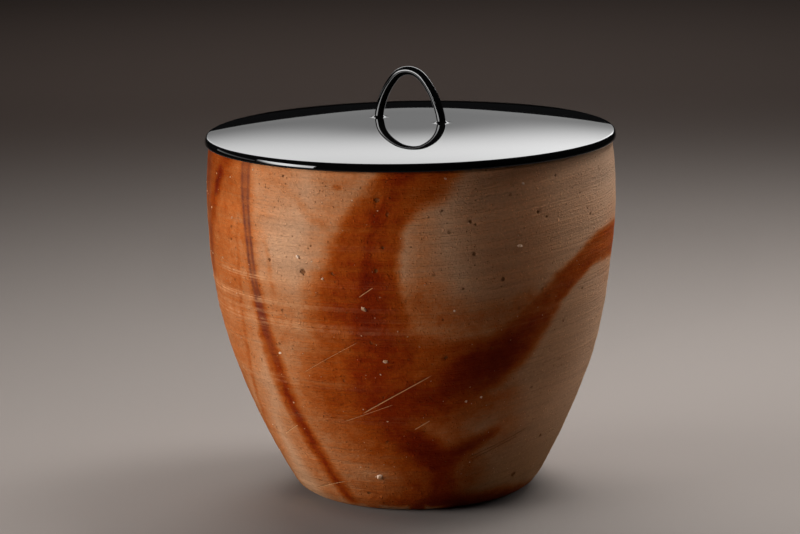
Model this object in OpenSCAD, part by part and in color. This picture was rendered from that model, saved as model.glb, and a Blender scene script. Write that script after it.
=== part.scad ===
// Water jar for the tea room: a wheel-thrown stoneware jar with a lacquered wooden lid.
// Millimetres, +Z up, origin at the centre of the base, handle arch along X.

/* [Jar] */
// Height of the jar from its base to the top of the rim
jar_h = 165; // [140:1:190]
// Outer diameter at the belly, the widest place
belly_d = 190; // [160:1:220]
// Height of the belly above the base
belly_z = 135.5; // [110:0.5:140]
// Diameter at which the curved wall, drawn on downwards, would meet the floor
foot_d = 106; // [90:1:130]
// Rounding of the heel between base and wall
heel_r = 16; // [12:1:30]
// Thickness of the thrown wall
wall_t = 7.5; // [5:0.5:10]
// Thickness of the floor
floor_t = 9; // [6:0.5:14]
// Rounding inside, between floor and wall
inner_heel_r = 22; // [10:1:28]
// Rounding of both edges of the rim
rim_round = 2.2; // [1:0.1:2.4]

/* [Lid] */
// How far the lid's edge stands out past the rim
lid_overhang = 1.7; // [0.5:0.1:4]
// Thickness of the lid at its edge
lid_edge_t = 3.6; // [3:0.1:6]
// Rounding of the lid's edge, above and below
lid_edge_round = 1.45; // [0.5:0.05:1.5]
// Rise of the dome from the edge to the middle
lid_rise = 5; // [2:0.5:10]
// Power of the dome's curve: a higher one bends more towards the edge
dome_power = 2.25; // [2:0.25:4]
// Margin of the flat seat in the middle of the lid, round the handle's feet
seat_margin = 1.5; // [0.5:0.1:6]

/* [Locating ring] */
// Height of the ring under the lid
ring_h = 5; // [3:0.5:10]
// Width of the ring from its inner to its outer side
ring_w = 6; // [3:0.5:10]
// Play between the ring and the jar's mouth
ring_play = 1.5; // [0.5:0.1:3]

/* [Handle] */
// Height of the arch above the middle of the lid
arch_h = 25; // [18:0.5:32]
// Distance between the centres of the two feet
foot_span = 35.8; // [30:0.2:44]
// Radius of the crown, to the middle of the bar
crown_r = 11.5; // [8:0.5:13]
// Half of the angle that the crown turns through
crown_half_angle = 45; // [38:1:50]
// Width of the bar in the plane of the arch
bar_w = 4; // [3.8:0.1:6]
// Depth of the bar across the arch
bar_d = 4.1; // [3.8:0.1:6]
// Rounding of the bar's corners
bar_round = 1.7; // [0.5:0.1:1.8]

/* [Joint of handle and lid] */
// Diameter of the tenon under each foot
tenon_d = 3.2; // [2.4:0.1:3.4]
// Room for glue round each tenon
glue_gap = 0.1; // [0.05:0.05:0.2]
// Thickness of the wedge at its head
wedge_t = 0.9; // [0.6:0.1:1.2]
// Thickness of the wedge at its tip
wedge_tip = 0.3; // [0.2:0.1:0.5]
// Length of the wedge
wedge_l = 5; // [3:0.5:5.5]
// Width of the lacquer fillet round each foot
fillet_w = 1.3; // [0.6:0.1:2]
// Thickness of the fillet at its thin outer edge
fillet_lip = 0.15; // [0.1:0.05:0.3]

/* [Hidden] */
$fn = 96;

CLAY = "#b9805a";
LACQUER = "#161412";
PUTTY = "#1d1a18";
BARE_WOOD = "#b08a5a";

// Points along the wall and the dome, and round an arc
WALL_STEPS = 24;
DOME_STEPS = 24;
ARC_STEPS = 8;
TANGENT_STEPS = 20;

// The wall is a parabola on its side, with its top at the belly
belly_r = belly_d / 2;
wall_bow = (belly_r - foot_d / 2) / pow(belly_z, 2);
rim_z = jar_h - rim_round;

function wall_slope(z) = 2 * wall_bow * (belly_z - z);
function wall_stretch(z) = sqrt(1 + pow(wall_slope(z), 2));
// Radius of the wall at a height, at a depth inside its outer skin
function wall_r(z, depth = 0) = belly_r - wall_bow * pow(z - belly_z, 2) - depth * wall_stretch(z);
// Lean of that skin from the vertical, in degrees
function wall_lean(z, depth) = atan(wall_slope(z) * (1 + 2 * wall_bow * depth / wall_stretch(z)));
// Height at which a rounding of radius r on a floor runs into the wall
function tangent_z(floor_z, depth, r, z = 0, left = TANGENT_STEPS) =
    left == 0 ? z : tangent_z(floor_z, depth, r, floor_z + r * (1 - sin(wall_lean(z, depth))), left - 1);

function arc(centre, r, from, to) =
    [for (i = [0 : ARC_STEPS]) let (a = from + (to - from) * i / ARC_STEPS) centre + r * [cos(a), sin(a)]];
function reversed(list) = [for (i = [len(list) - 1 : -1 : 0]) list[i]];

// One side of the jar, from its floor round the heel and up to just below the rim
function jar_side(floor_z, depth, r) =
    let (start_z = tangent_z(floor_z, depth, r),
         lean = wall_lean(start_z, depth),
         centre = [wall_r(start_z, depth) - r * cos(lean), floor_z + r])
    concat(arc(centre, r, -90, -lean),
           [for (i = [1 : WALL_STEPS - 1]) let (z = start_z + (rim_z - start_z) * i / WALL_STEPS)
               [wall_r(z, depth), z]]);

mouth_outer_r = wall_r(rim_z);
mouth_inner_r = wall_r(rim_z, wall_t);

// The lid lies on the rim, so its underside is level with the top of the jar
lid_r = mouth_outer_r + lid_overhang;
lid_edge_top = jar_h + lid_edge_t;
lid_top = lid_edge_top + lid_rise;
foot_x = foot_span / 2;
foot_reach = max(bar_w, bar_d) / 2;
fillet_r = foot_reach + fillet_w;
seat_r = foot_x + fillet_r + seat_margin;
// The dome runs from the flat seat to the edge, where it leans by this angle into the rounding
edge_lean = atan(dome_power * lid_rise / (lid_r - seat_r));
edge_centre_r = lid_r - lid_edge_round;
dome_r = edge_centre_r + lid_edge_round * sin(edge_lean);

function dome_z(r) = lid_top - lid_rise * pow((r - seat_r) / (dome_r - seat_r), dome_power);

// The arch is a crown arc between two leg arcs that meet it in one line
crown_z = lid_top + arch_h - bar_w / 2 - crown_r;
crown_normal = [sin(crown_half_angle), cos(crown_half_angle)];
crown_end = [0, crown_z] + crown_r * crown_normal;
leg_chord = [foot_x, lid_top] - crown_end;
leg_r = -(leg_chord * leg_chord) / (2 * leg_chord * crown_normal);
leg_centre = crown_end - leg_r * crown_normal;
foot_angle = atan2(foot_x - leg_centre[0], lid_top - leg_centre[1]);
// Each leg is drawn on below the lid's face, where it is then cut off flat
leg_spare = bar_w;
leg_turn = foot_angle - crown_half_angle + leg_spare / leg_r * 180 / PI;

tenon_r = tenon_d / 2;

module jar_outline() {
    top_outer = arc([mouth_outer_r - rim_round, rim_z], rim_round, 0, 90);
    top_inner = arc([mouth_inner_r + rim_round, rim_z], rim_round, 90, 180);
    polygon(concat([[0, 0]], jar_side(0, 0, heel_r), top_outer, top_inner,
                   reversed(jar_side(floor_t, wall_t, inner_heel_r)), [[0, floor_t]]));
}

module jar_body() {
    color(CLAY) rotate_extrude() jar_outline();
}

module lid_outline() {
    dome = [for (i = [0 : DOME_STEPS - 1])
               let (r = seat_r + (dome_r - seat_r) * i / DOME_STEPS) [r, dome_z(r)]];
    upper_edge = arc([edge_centre_r, lid_edge_top - lid_edge_round * cos(edge_lean)], lid_edge_round,
                     90 - edge_lean, 0);
    lower_edge = arc([edge_centre_r, jar_h + lid_edge_round], lid_edge_round, 0, -90);
    polygon(concat([[0, jar_h], [0, lid_top]], dome, upper_edge, lower_edge));
}

// Copies its child to the left foot (side -1) or the right foot (side 1)
module at_foot(side) {
    translate([side * foot_x, 0, 0]) children();
}

module lid_board() {
    color(LACQUER) difference() {
        rotate_extrude() lid_outline();
        for (side = [-1, 1])
            at_foot(side)
                translate([0, 0, jar_h - lid_edge_t])
                    cylinder(r = tenon_r + glue_gap, h = lid_top - jar_h + 2 * lid_edge_t);
    }
}

module locating_ring() {
    ring_outer_r = mouth_inner_r - ring_play;
    color(LACQUER)
        translate([0, 0, jar_h - ring_h])
            difference() {
                cylinder(r = ring_outer_r, h = ring_h);
                translate([0, 0, -ring_h])
                    cylinder(r = ring_outer_r - ring_w, h = 3 * ring_h);
            }
}

module bar_section() {
    half_w = bar_w / 2 - bar_round;
    half_d = bar_d / 2 - bar_round;
    square([bar_w, 2 * half_d], center = true);
    square([2 * half_w, bar_d], center = true);
    for (x = [-half_w, half_w], y = [-half_d, half_d])
        translate([x, y]) circle(r = bar_round);
}

// Stands a shape drawn in the XY plane up in the plane of the arch, turned to the right end of the crown
module in_arch() {
    translate([0, 0, crown_z])
        rotate([90, 0, 0])
            rotate([0, 0, 90 - crown_half_angle])
                children();
}

module bar_arc(r, turn) {
    rotate_extrude(angle = turn)
        translate([r, 0])
            bar_section();
}

module crown() {
    in_arch() bar_arc(crown_r, 2 * crown_half_angle);
}

// One leg, from the end of the crown down to the lid's face
module leg(side) {
    difference() {
        mirror([side < 0 ? 1 : 0, 0, 0])
            in_arch()
                translate([crown_r - leg_r, 0, 0])
                    mirror([0, 1, 0])
                        bar_arc(leg_r, leg_turn);
        translate([-lid_r, -lid_r, lid_top - 2 * leg_spare])
            cube([2 * lid_r, 2 * lid_r, 2 * leg_spare]);
    }
}

// A wedge that is driven up into the foot of a tenon, across the plane of the arch
module wedge_shape() {
    translate([0, tenon_d, jar_h])
        rotate([90, 0, 0])
            linear_extrude(height = 2 * tenon_d)
                polygon([[-wedge_t / 2, 0], [wedge_t / 2, 0],
                         [wedge_tip / 2, wedge_l], [-wedge_tip / 2, wedge_l]]);
}

module tenon() {
    difference() {
        translate([0, 0, jar_h])
            cylinder(r = tenon_r, h = lid_top - jar_h + tenon_r / 2);
        wedge_shape();
    }
}

module handle_arch() {
    color(LACQUER) union() {
        crown();
        for (side = [-1, 1]) {
            leg(side);
            at_foot(side) tenon();
        }
    }
}

module foot_fillet(side) {
    color(PUTTY) difference() {
        at_foot(side)
            translate([0, 0, lid_top])
                rotate_extrude()
                    polygon(concat([[0, 0], [fillet_r, 0]],
                                   arc([fillet_r, fillet_w + fillet_lip], fillet_w, 270, 180),
                                   [[0, fillet_w + fillet_lip]]));
        leg(side);
    }
}

module tenon_wedge(side) {
    color(BARE_WOOD) at_foot(side)
        intersection() {
            wedge_shape();
            translate([0, 0, jar_h])
                cylinder(r = tenon_r, h = wedge_l);
        }
}

jar_body();
lid_board();
locating_ring();
handle_arch();
foot_fillet(-1);  // left_foot_fillet
foot_fillet(1);  // right_foot_fillet
tenon_wedge(-1);  // left_tenon_wedge
tenon_wedge(1);  // right_tenon_wedge
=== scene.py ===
"""Looks of a lidded water jar for the tea room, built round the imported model.

The jar is wheel-thrown, unglazed stoneware with the red-brown marks that straw cords leave in the
kiln. Its lid is turned wood under black lacquer, with a bent arch for a handle.

Lengths are in metres and angles in degrees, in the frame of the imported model: Z is up, the origin is
the middle of the jar's base and the handle's arch runs along X. A bearing is an angle round the jar
from its front, the side that faces the camera, and grows towards the right of the picture.
"""

import functools
import logging
import math
from collections.abc import Callable, Sequence
from dataclasses import dataclass, field
from enum import Enum

import bmesh
import bpy
import numpy as np
from mathutils import Matrix, Vector


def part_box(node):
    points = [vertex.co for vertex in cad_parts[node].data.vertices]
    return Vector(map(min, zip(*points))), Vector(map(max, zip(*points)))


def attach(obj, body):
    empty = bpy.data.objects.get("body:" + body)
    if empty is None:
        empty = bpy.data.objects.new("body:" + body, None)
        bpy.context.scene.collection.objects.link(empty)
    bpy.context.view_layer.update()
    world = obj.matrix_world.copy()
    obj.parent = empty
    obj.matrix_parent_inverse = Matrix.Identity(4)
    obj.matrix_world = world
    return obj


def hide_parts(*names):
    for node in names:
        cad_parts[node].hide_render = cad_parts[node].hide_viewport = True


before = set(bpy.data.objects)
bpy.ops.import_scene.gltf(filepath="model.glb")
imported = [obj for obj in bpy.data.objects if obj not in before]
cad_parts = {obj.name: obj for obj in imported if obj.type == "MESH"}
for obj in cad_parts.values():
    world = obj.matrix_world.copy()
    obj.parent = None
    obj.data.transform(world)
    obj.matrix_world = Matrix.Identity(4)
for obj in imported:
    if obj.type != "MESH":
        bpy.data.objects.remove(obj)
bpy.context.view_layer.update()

MM = 0.001
# Angle between the -Y axis and the side of the jar that faces the camera
FRONT_AZIMUTH = 36.6
# Less than the wall's arc for one degree, in mm, anywhere on the jar
LEAST_ARC = 0.8

log = logging.getLogger("water_jar")

Socket = bpy.types.NodeSocket
Colour = tuple[float, float, float]
Value = Socket | float | Colour
ArcOf = Callable[[np.ndarray], np.ndarray]


def smoothstep(low: float, high: float, value: np.ndarray) -> np.ndarray:
    """Return 0 below low, 1 above high and a smooth rise between them."""
    t = np.clip((value - low) / (high - low), 0.0, 1.0)
    return t * t * (3.0 - 2.0 * t)


def fall(low: float, high: float, value: np.ndarray) -> np.ndarray:
    """Return 1 below low, 0 above high and a smooth fall between them."""
    return 1.0 - smoothstep(low, high, value)


def between(start: float, full: float, fading: float, end: float, value: np.ndarray) -> np.ndarray:
    """Return 1 from full to fading, 0 outside start and end, and smooth ramps between them."""
    return smoothstep(start, full, value) * fall(fading, end, value)


def polar_of(bearing: np.ndarray) -> np.ndarray:
    """Return the angle from +X, in radians, of a bearing in degrees."""
    return np.radians(np.asarray(bearing) - 90.0 + FRONT_AZIMUTH)


def linked_object(name: str, mesh: bpy.types.Mesh) -> bpy.types.Object:
    """Return a new object in the scene that shows a mesh.

    Args:
        name: name of the object.
        mesh: the mesh that it shows.

    Returns:
        The object.
    """
    piece = bpy.data.objects.new(name, mesh)
    bpy.context.scene.collection.objects.link(piece)
    return piece


def mesh_from_arrays(name: str, points: np.ndarray, faces: np.ndarray) -> bpy.types.Mesh:
    """Build a smooth-shaded mesh from arrays.

    Args:
        name: name of the mesh.
        points: vertex places, n by 3.
        faces: vertex numbers of each face, m by 4, where a triangle has -1 for its last corner.

    Returns:
        The mesh.
    """
    counts = np.where(faces[:, 3] < 0, 3, 4)
    corners = faces[faces >= 0]
    mesh = bpy.data.meshes.new(name)
    mesh.vertices.add(len(points))
    mesh.vertices.foreach_set("co", np.ascontiguousarray(points, np.float32).ravel())
    mesh.loops.add(len(corners))
    mesh.loops.foreach_set("vertex_index", corners.astype(np.int32))
    mesh.polygons.add(len(faces))
    mesh.polygons.foreach_set("loop_start", np.concatenate([[0], np.cumsum(counts)[:-1]]).astype(np.int32))
    mesh.polygons.foreach_set("use_smooth", np.ones(len(faces), bool))
    mesh.update(calc_edges=True)
    mesh.validate()
    return mesh


def lathe(name: str, rings: np.ndarray, poles: tuple[Vector, Vector]) -> bpy.types.Mesh:
    """Join rings of points into a closed skin, each ring to the next.

    Args:
        name: name of the mesh.
        rings: places, rings by points by 3, with the points of each ring anticlockwise from above
            where the rings run outwards and up.
        poles: the middle points that close the first and the last ring.

    Returns:
        The mesh.
    """
    count, size = rings.shape[:2]
    here = np.arange(size)
    beside = (here + 1) % size
    low = np.arange(count - 1)[:, None] * size
    high = low + size
    end = (count - 1) * size
    pole = np.full(size, count * size)
    none = np.full(size, -1)
    faces = np.concatenate([
        np.stack([pole, beside, here, none], -1),
        np.stack([low + here, low + beside, high + beside, high + here], -1).reshape(-1, 4),
        np.stack([pole + 1, end + here, end + beside, none], -1),
    ])
    return mesh_from_arrays(name, np.concatenate([rings.reshape(-1, 3), np.array(poles)]), faces)


class Field(Enum):
    """Values that the jar's mesh carries for its finish."""

    FIRE = "fire"
    LEVEL = "level"
    COMB = "comb"
    # painted shade: how far the clay is darkened where shade falls
    PAINTED_SHADE = "painted_shade"
    SCUFF = "scuff"
    # painted sheen: paler, greyer clay on the rim-lit right side
    PAINTED_SHEEN = "painted_sheen"
    CORD = "cord"


class Nodes:
    """A node tree, with short calls for the nodes that finishes and lamps share."""

    def __init__(self, tree: bpy.types.NodeTree) -> None:
        """Take the tree that the nodes go into."""
        self.tree = tree

    def node(self, kind: str, inputs: dict[str | int, Value] | None = None,
             **settings: str | bool) -> bpy.types.Node:
        """Add a node.

        Args:
            kind: the node's type, without its ShaderNode prefix.
            inputs: what goes into its sockets by name or number: a socket to link, or a value.
            **settings: properties of the node.

        Returns:
            The node.
        """
        made = self.tree.nodes.new("ShaderNode" + kind)
        for key, value in settings.items():
            setattr(made, key, value)
        for key, value in (inputs or {}).items():
            self.feed(made.inputs[key], value)
        return made

    def feed(self, socket: Socket, value: Value) -> None:
        """Feed an input.

        Args:
            socket: the input.
            value: a socket to link into it, or a value to set.
        """
        if isinstance(value, bpy.types.NodeSocket):
            self.tree.links.new(value, socket)
        elif isinstance(value, tuple) and socket.type == "RGBA":
            socket.default_value = (*value, 1.0)
        else:
            socket.default_value = value

    def math(self, operation: str, *values: Value) -> Socket:
        """Return the result of a Math node on values or sockets."""
        return self.node("Math", dict(enumerate(values)), operation=operation).outputs[0]

    def combine(self, operation: str, parts: Sequence[Socket]) -> Socket:
        """Return several values joined by one operation, such as their sum."""
        return functools.reduce(lambda first, second: self.math(operation, first, second), parts)

    def step(self, value: Value, low: float, high: float, to_low: float = 0.0,
             to_high: float = 1.0) -> Socket:
        """Return a value mapped smoothly from one range to another, and held at its ends."""
        inputs = {0: value, 1: low, 2: high, 3: to_low, 4: to_high}
        return self.node("MapRange", inputs, interpolation_type="SMOOTHSTEP").outputs[0]


class Shader(Nodes):
    """A material whose nodes feed one Principled shader."""

    # Sockets of a Mix node that mixes colours
    MIX_FACTOR, MIX_FIRST, MIX_SECOND, MIX_RESULT = 0, 6, 7, 2

    def __init__(self, name: str) -> None:
        """Start a material.

        Args:
            name: name of the material.
        """
        self.material = bpy.data.materials.new(name)
        self.material.use_nodes = True
        super().__init__(self.material.node_tree)
        self.tree.nodes.clear()
        output = self.tree.nodes.new("ShaderNodeOutputMaterial")
        self.surface = self.tree.nodes.new("ShaderNodeBsdfPrincipled")
        self.tree.links.new(self.surface.outputs[0], output.inputs["Surface"])

    def set(self, **inputs: Value) -> None:
        """Feed the Principled shader's sockets, named with _ for each space."""
        for key, value in inputs.items():
            self.feed(self.surface.inputs[key.replace("_", " ")], value)

    def mix(self, factor: Value, first: Value, second: Value, blend: str = "MIX") -> Socket:
        """Mix two colours.

        Args:
            factor: share of the second colour, from 0 to 1.
            first: the first colour.
            second: the second colour.
            blend: how the second goes over the first.

        Returns:
            The mixed colour.
        """
        made = self.node("Mix", data_type="RGBA", blend_type=blend, clamp_factor=True)
        self.feed(made.inputs[self.MIX_FACTOR], factor)
        self.feed(made.inputs[self.MIX_FIRST], first)
        self.feed(made.inputs[self.MIX_SECOND], second)
        return made.outputs[self.MIX_RESULT]

    def scaled(self, colour: Socket, factor: Value) -> Socket:
        """Return a colour times a factor."""
        return self.node("VectorMath", {0: colour, "Scale": factor}, operation="SCALE").outputs[0]

    def noise(self, vector: Socket, scale: float, detail: float = 4.0, rough: float = 0.55) -> Socket:
        """Return a fractal noise from 0 to 1."""
        inputs = {"Vector": vector, "Scale": scale, "Detail": detail, "Roughness": rough}
        return self.node("TexNoise", inputs).outputs[0]

    def stretched(self, vector: Socket, factors: tuple[float, float, float]) -> Socket:
        """Return a place stretched along its axes."""
        return self.node("Mapping", {"Vector": vector, "Scale": factors}).outputs[0]

    def place(self) -> Socket:
        """Return the place on the object, in mm."""
        metres = self.node("TexCoord").outputs["Object"]
        return self.stretched(metres, (1.0 / MM, 1.0 / MM, 1.0 / MM))

    def field(self, name: Field) -> Socket:
        """Return a value that the mesh carries at its vertices."""
        return self.node("Attribute", attribute_name=name.value).outputs["Fac"]

    def bump(self, height: Socket, depth: float, under: Socket | None = None) -> Socket:
        """Dent the surface.

        Args:
            height: the relief, from 0 to 1.
            depth: how far it reaches, in metres.
            under: a normal that is already dented.

        Returns:
            The dented normal.
        """
        inputs = {"Height": height, "Distance": depth, "Strength": 1.0}
        if under is not None:
            inputs["Normal"] = under
        return self.node("Bump", inputs).outputs[0]


class WallNoise:
    """Smooth seeded noise over the unrolled wall, which meets itself behind the jar."""

    # Heights that the noise covers, in mm, and the rows of cells past them
    LOWEST = -50.0
    SPAN = 300.0
    SPARE_ROWS = 3

    def __init__(self, seed: int) -> None:
        """Start the seeded numbers."""
        self.random = np.random.default_rng(seed)

    def layer(self, bearing: np.ndarray, height: np.ndarray, cells: int, cell_height: float) -> np.ndarray:
        """Return one layer of noise.

        Args:
            bearing: bearings in degrees.
            height: heights in mm, from LOWEST up.
            cells: number of cells round the jar.
            cell_height: height of a cell in mm.

        Returns:
            Values from -1 to 1.
        """
        table = self.random.uniform(-1.0, 1.0, (int(self.SPAN / cell_height) + self.SPARE_ROWS, cells))
        across = (bearing + 180.0) / 360.0 * cells
        up = (height - self.LOWEST) / cell_height
        column, row = np.floor(across).astype(int), np.floor(up).astype(int)
        fade_x, fade_y = smoothstep(0.0, 1.0, across - column), smoothstep(0.0, 1.0, up - row)
        left, right = column % cells, (column + 1) % cells
        lower = table[row, left] * (1.0 - fade_x) + table[row, right] * fade_x
        upper = table[row + 1, left] * (1.0 - fade_x) + table[row + 1, right] * fade_x
        return lower * (1.0 - fade_y) + upper * fade_y

    def fractal(self, bearing: np.ndarray, height: np.ndarray, cells: int, cell_height: float,
                octaves: int = 3) -> np.ndarray:
        """Return layers of noise summed, each finer and weaker than the last.

        Args:
            bearing: bearings in degrees.
            height: heights in mm, from LOWEST up.
            cells: number of cells round the jar in the coarsest layer.
            cell_height: height of its cells in mm.
            octaves: number of layers.

        Returns:
            Values from -2 to 2, most of them near 0.
        """
        total = np.zeros_like(bearing)
        for octave in range(octaves):
            finer = 1 << octave
            total += self.layer(bearing, height, cells * finer, cell_height / finer) / finer
        return total


@dataclass(frozen=True)
class Streak:
    """A flash of the fire along a path, where straw lay on the clay.

    Each mark on the path holds a bearing, a height in mm, a half width in mm and a strength. The edge of
    the flash fades over a share of the half width, soft, to both sides.
    """

    marks: tuple[tuple[float, float, float, float], ...]
    soft: float = 0.5
    steps: int = 5

    def halo(self, wider: float, share: float, soft: float) -> "Streak":
        """Return the streak with its width and its strength changed by factors."""
        marks = tuple((turn, up, half * wider, flash * share) for turn, up, half, flash in self.marks)
        return Streak(marks, soft)

    def route(self) -> np.ndarray:
        """Return the marks with points between them, on a smooth curve through all of them.

        Returns:
            Points in the form of the marks, n by 4.
        """
        marks = np.array(self.marks, float)
        padded = np.concatenate([2 * marks[:1] - marks[1:2], marks, 2 * marks[-1:] - marks[-2:-1]])
        t = np.linspace(0.0, 1.0, self.steps, endpoint=False)[:, None]
        spans = []
        for before, start, stop, after in zip(padded, padded[1:], padded[2:], padded[3:]):
            bend = 2 * before - 5 * start + 4 * stop - after
            turn = 3 * (start - stop) + after - before
            spans.append(start + 0.5 * t * (stop - before + t * (bend + t * turn)))
        return np.concatenate([*spans, marks[-1:]])

    def flash(self, bearing: np.ndarray, height: np.ndarray, mm_per_degree: np.ndarray) -> np.ndarray:
        """Return the strength of the flash at places on the wall.

        Args:
            bearing: bearings in degrees.
            height: heights in mm.
            mm_per_degree: the wall's arc for one degree at those heights.

        Returns:
            Strengths from 0 to 1.
        """
        route = self.route()
        middle = (route[:, 0].min() + route[:, 0].max()) / 2
        turned = (bearing - middle + 180.0) % 360.0 - 180.0 + middle
        reach = route[:, 2].max() * (1.0 + self.soft)
        low, high = route.min(axis=0), route.max(axis=0)
        margin = reach / LEAST_ARC
        near = (turned > low[0] - margin) & (turned < high[0] + margin)
        near &= (height > low[1] - reach) & (height < high[1] + reach)
        x, y, scale = turned[near], height[near], mm_per_degree[near]
        best = np.full(x.shape, np.inf)
        strength = np.zeros(x.shape)
        for start, stop in zip(route, route[1:]):
            run_x, run_y = (stop[0] - start[0]) * scale, stop[1] - start[1]
            off_x, off_y = (x - start[0]) * scale, y - start[1]
            t = np.clip((off_x * run_x + off_y * run_y) / (run_x**2 + run_y**2), 0.0, 1.0)
            away = np.hypot(off_x - t * run_x, off_y - t * run_y) / (start[2] + t * (stop[2] - start[2]))
            closer = away < best
            best = np.where(closer, away, best)
            strength = np.where(closer, start[3] + t * (stop[3] - start[3]), strength)
        flash = np.zeros(bearing.shape)
        flash[near] = strength * fall(1.0 - self.soft, 1.0 + self.soft, best)
        return flash


# Name of the map that unrolls the jar for baking
BAKE_MAP = "OFBake"

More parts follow.
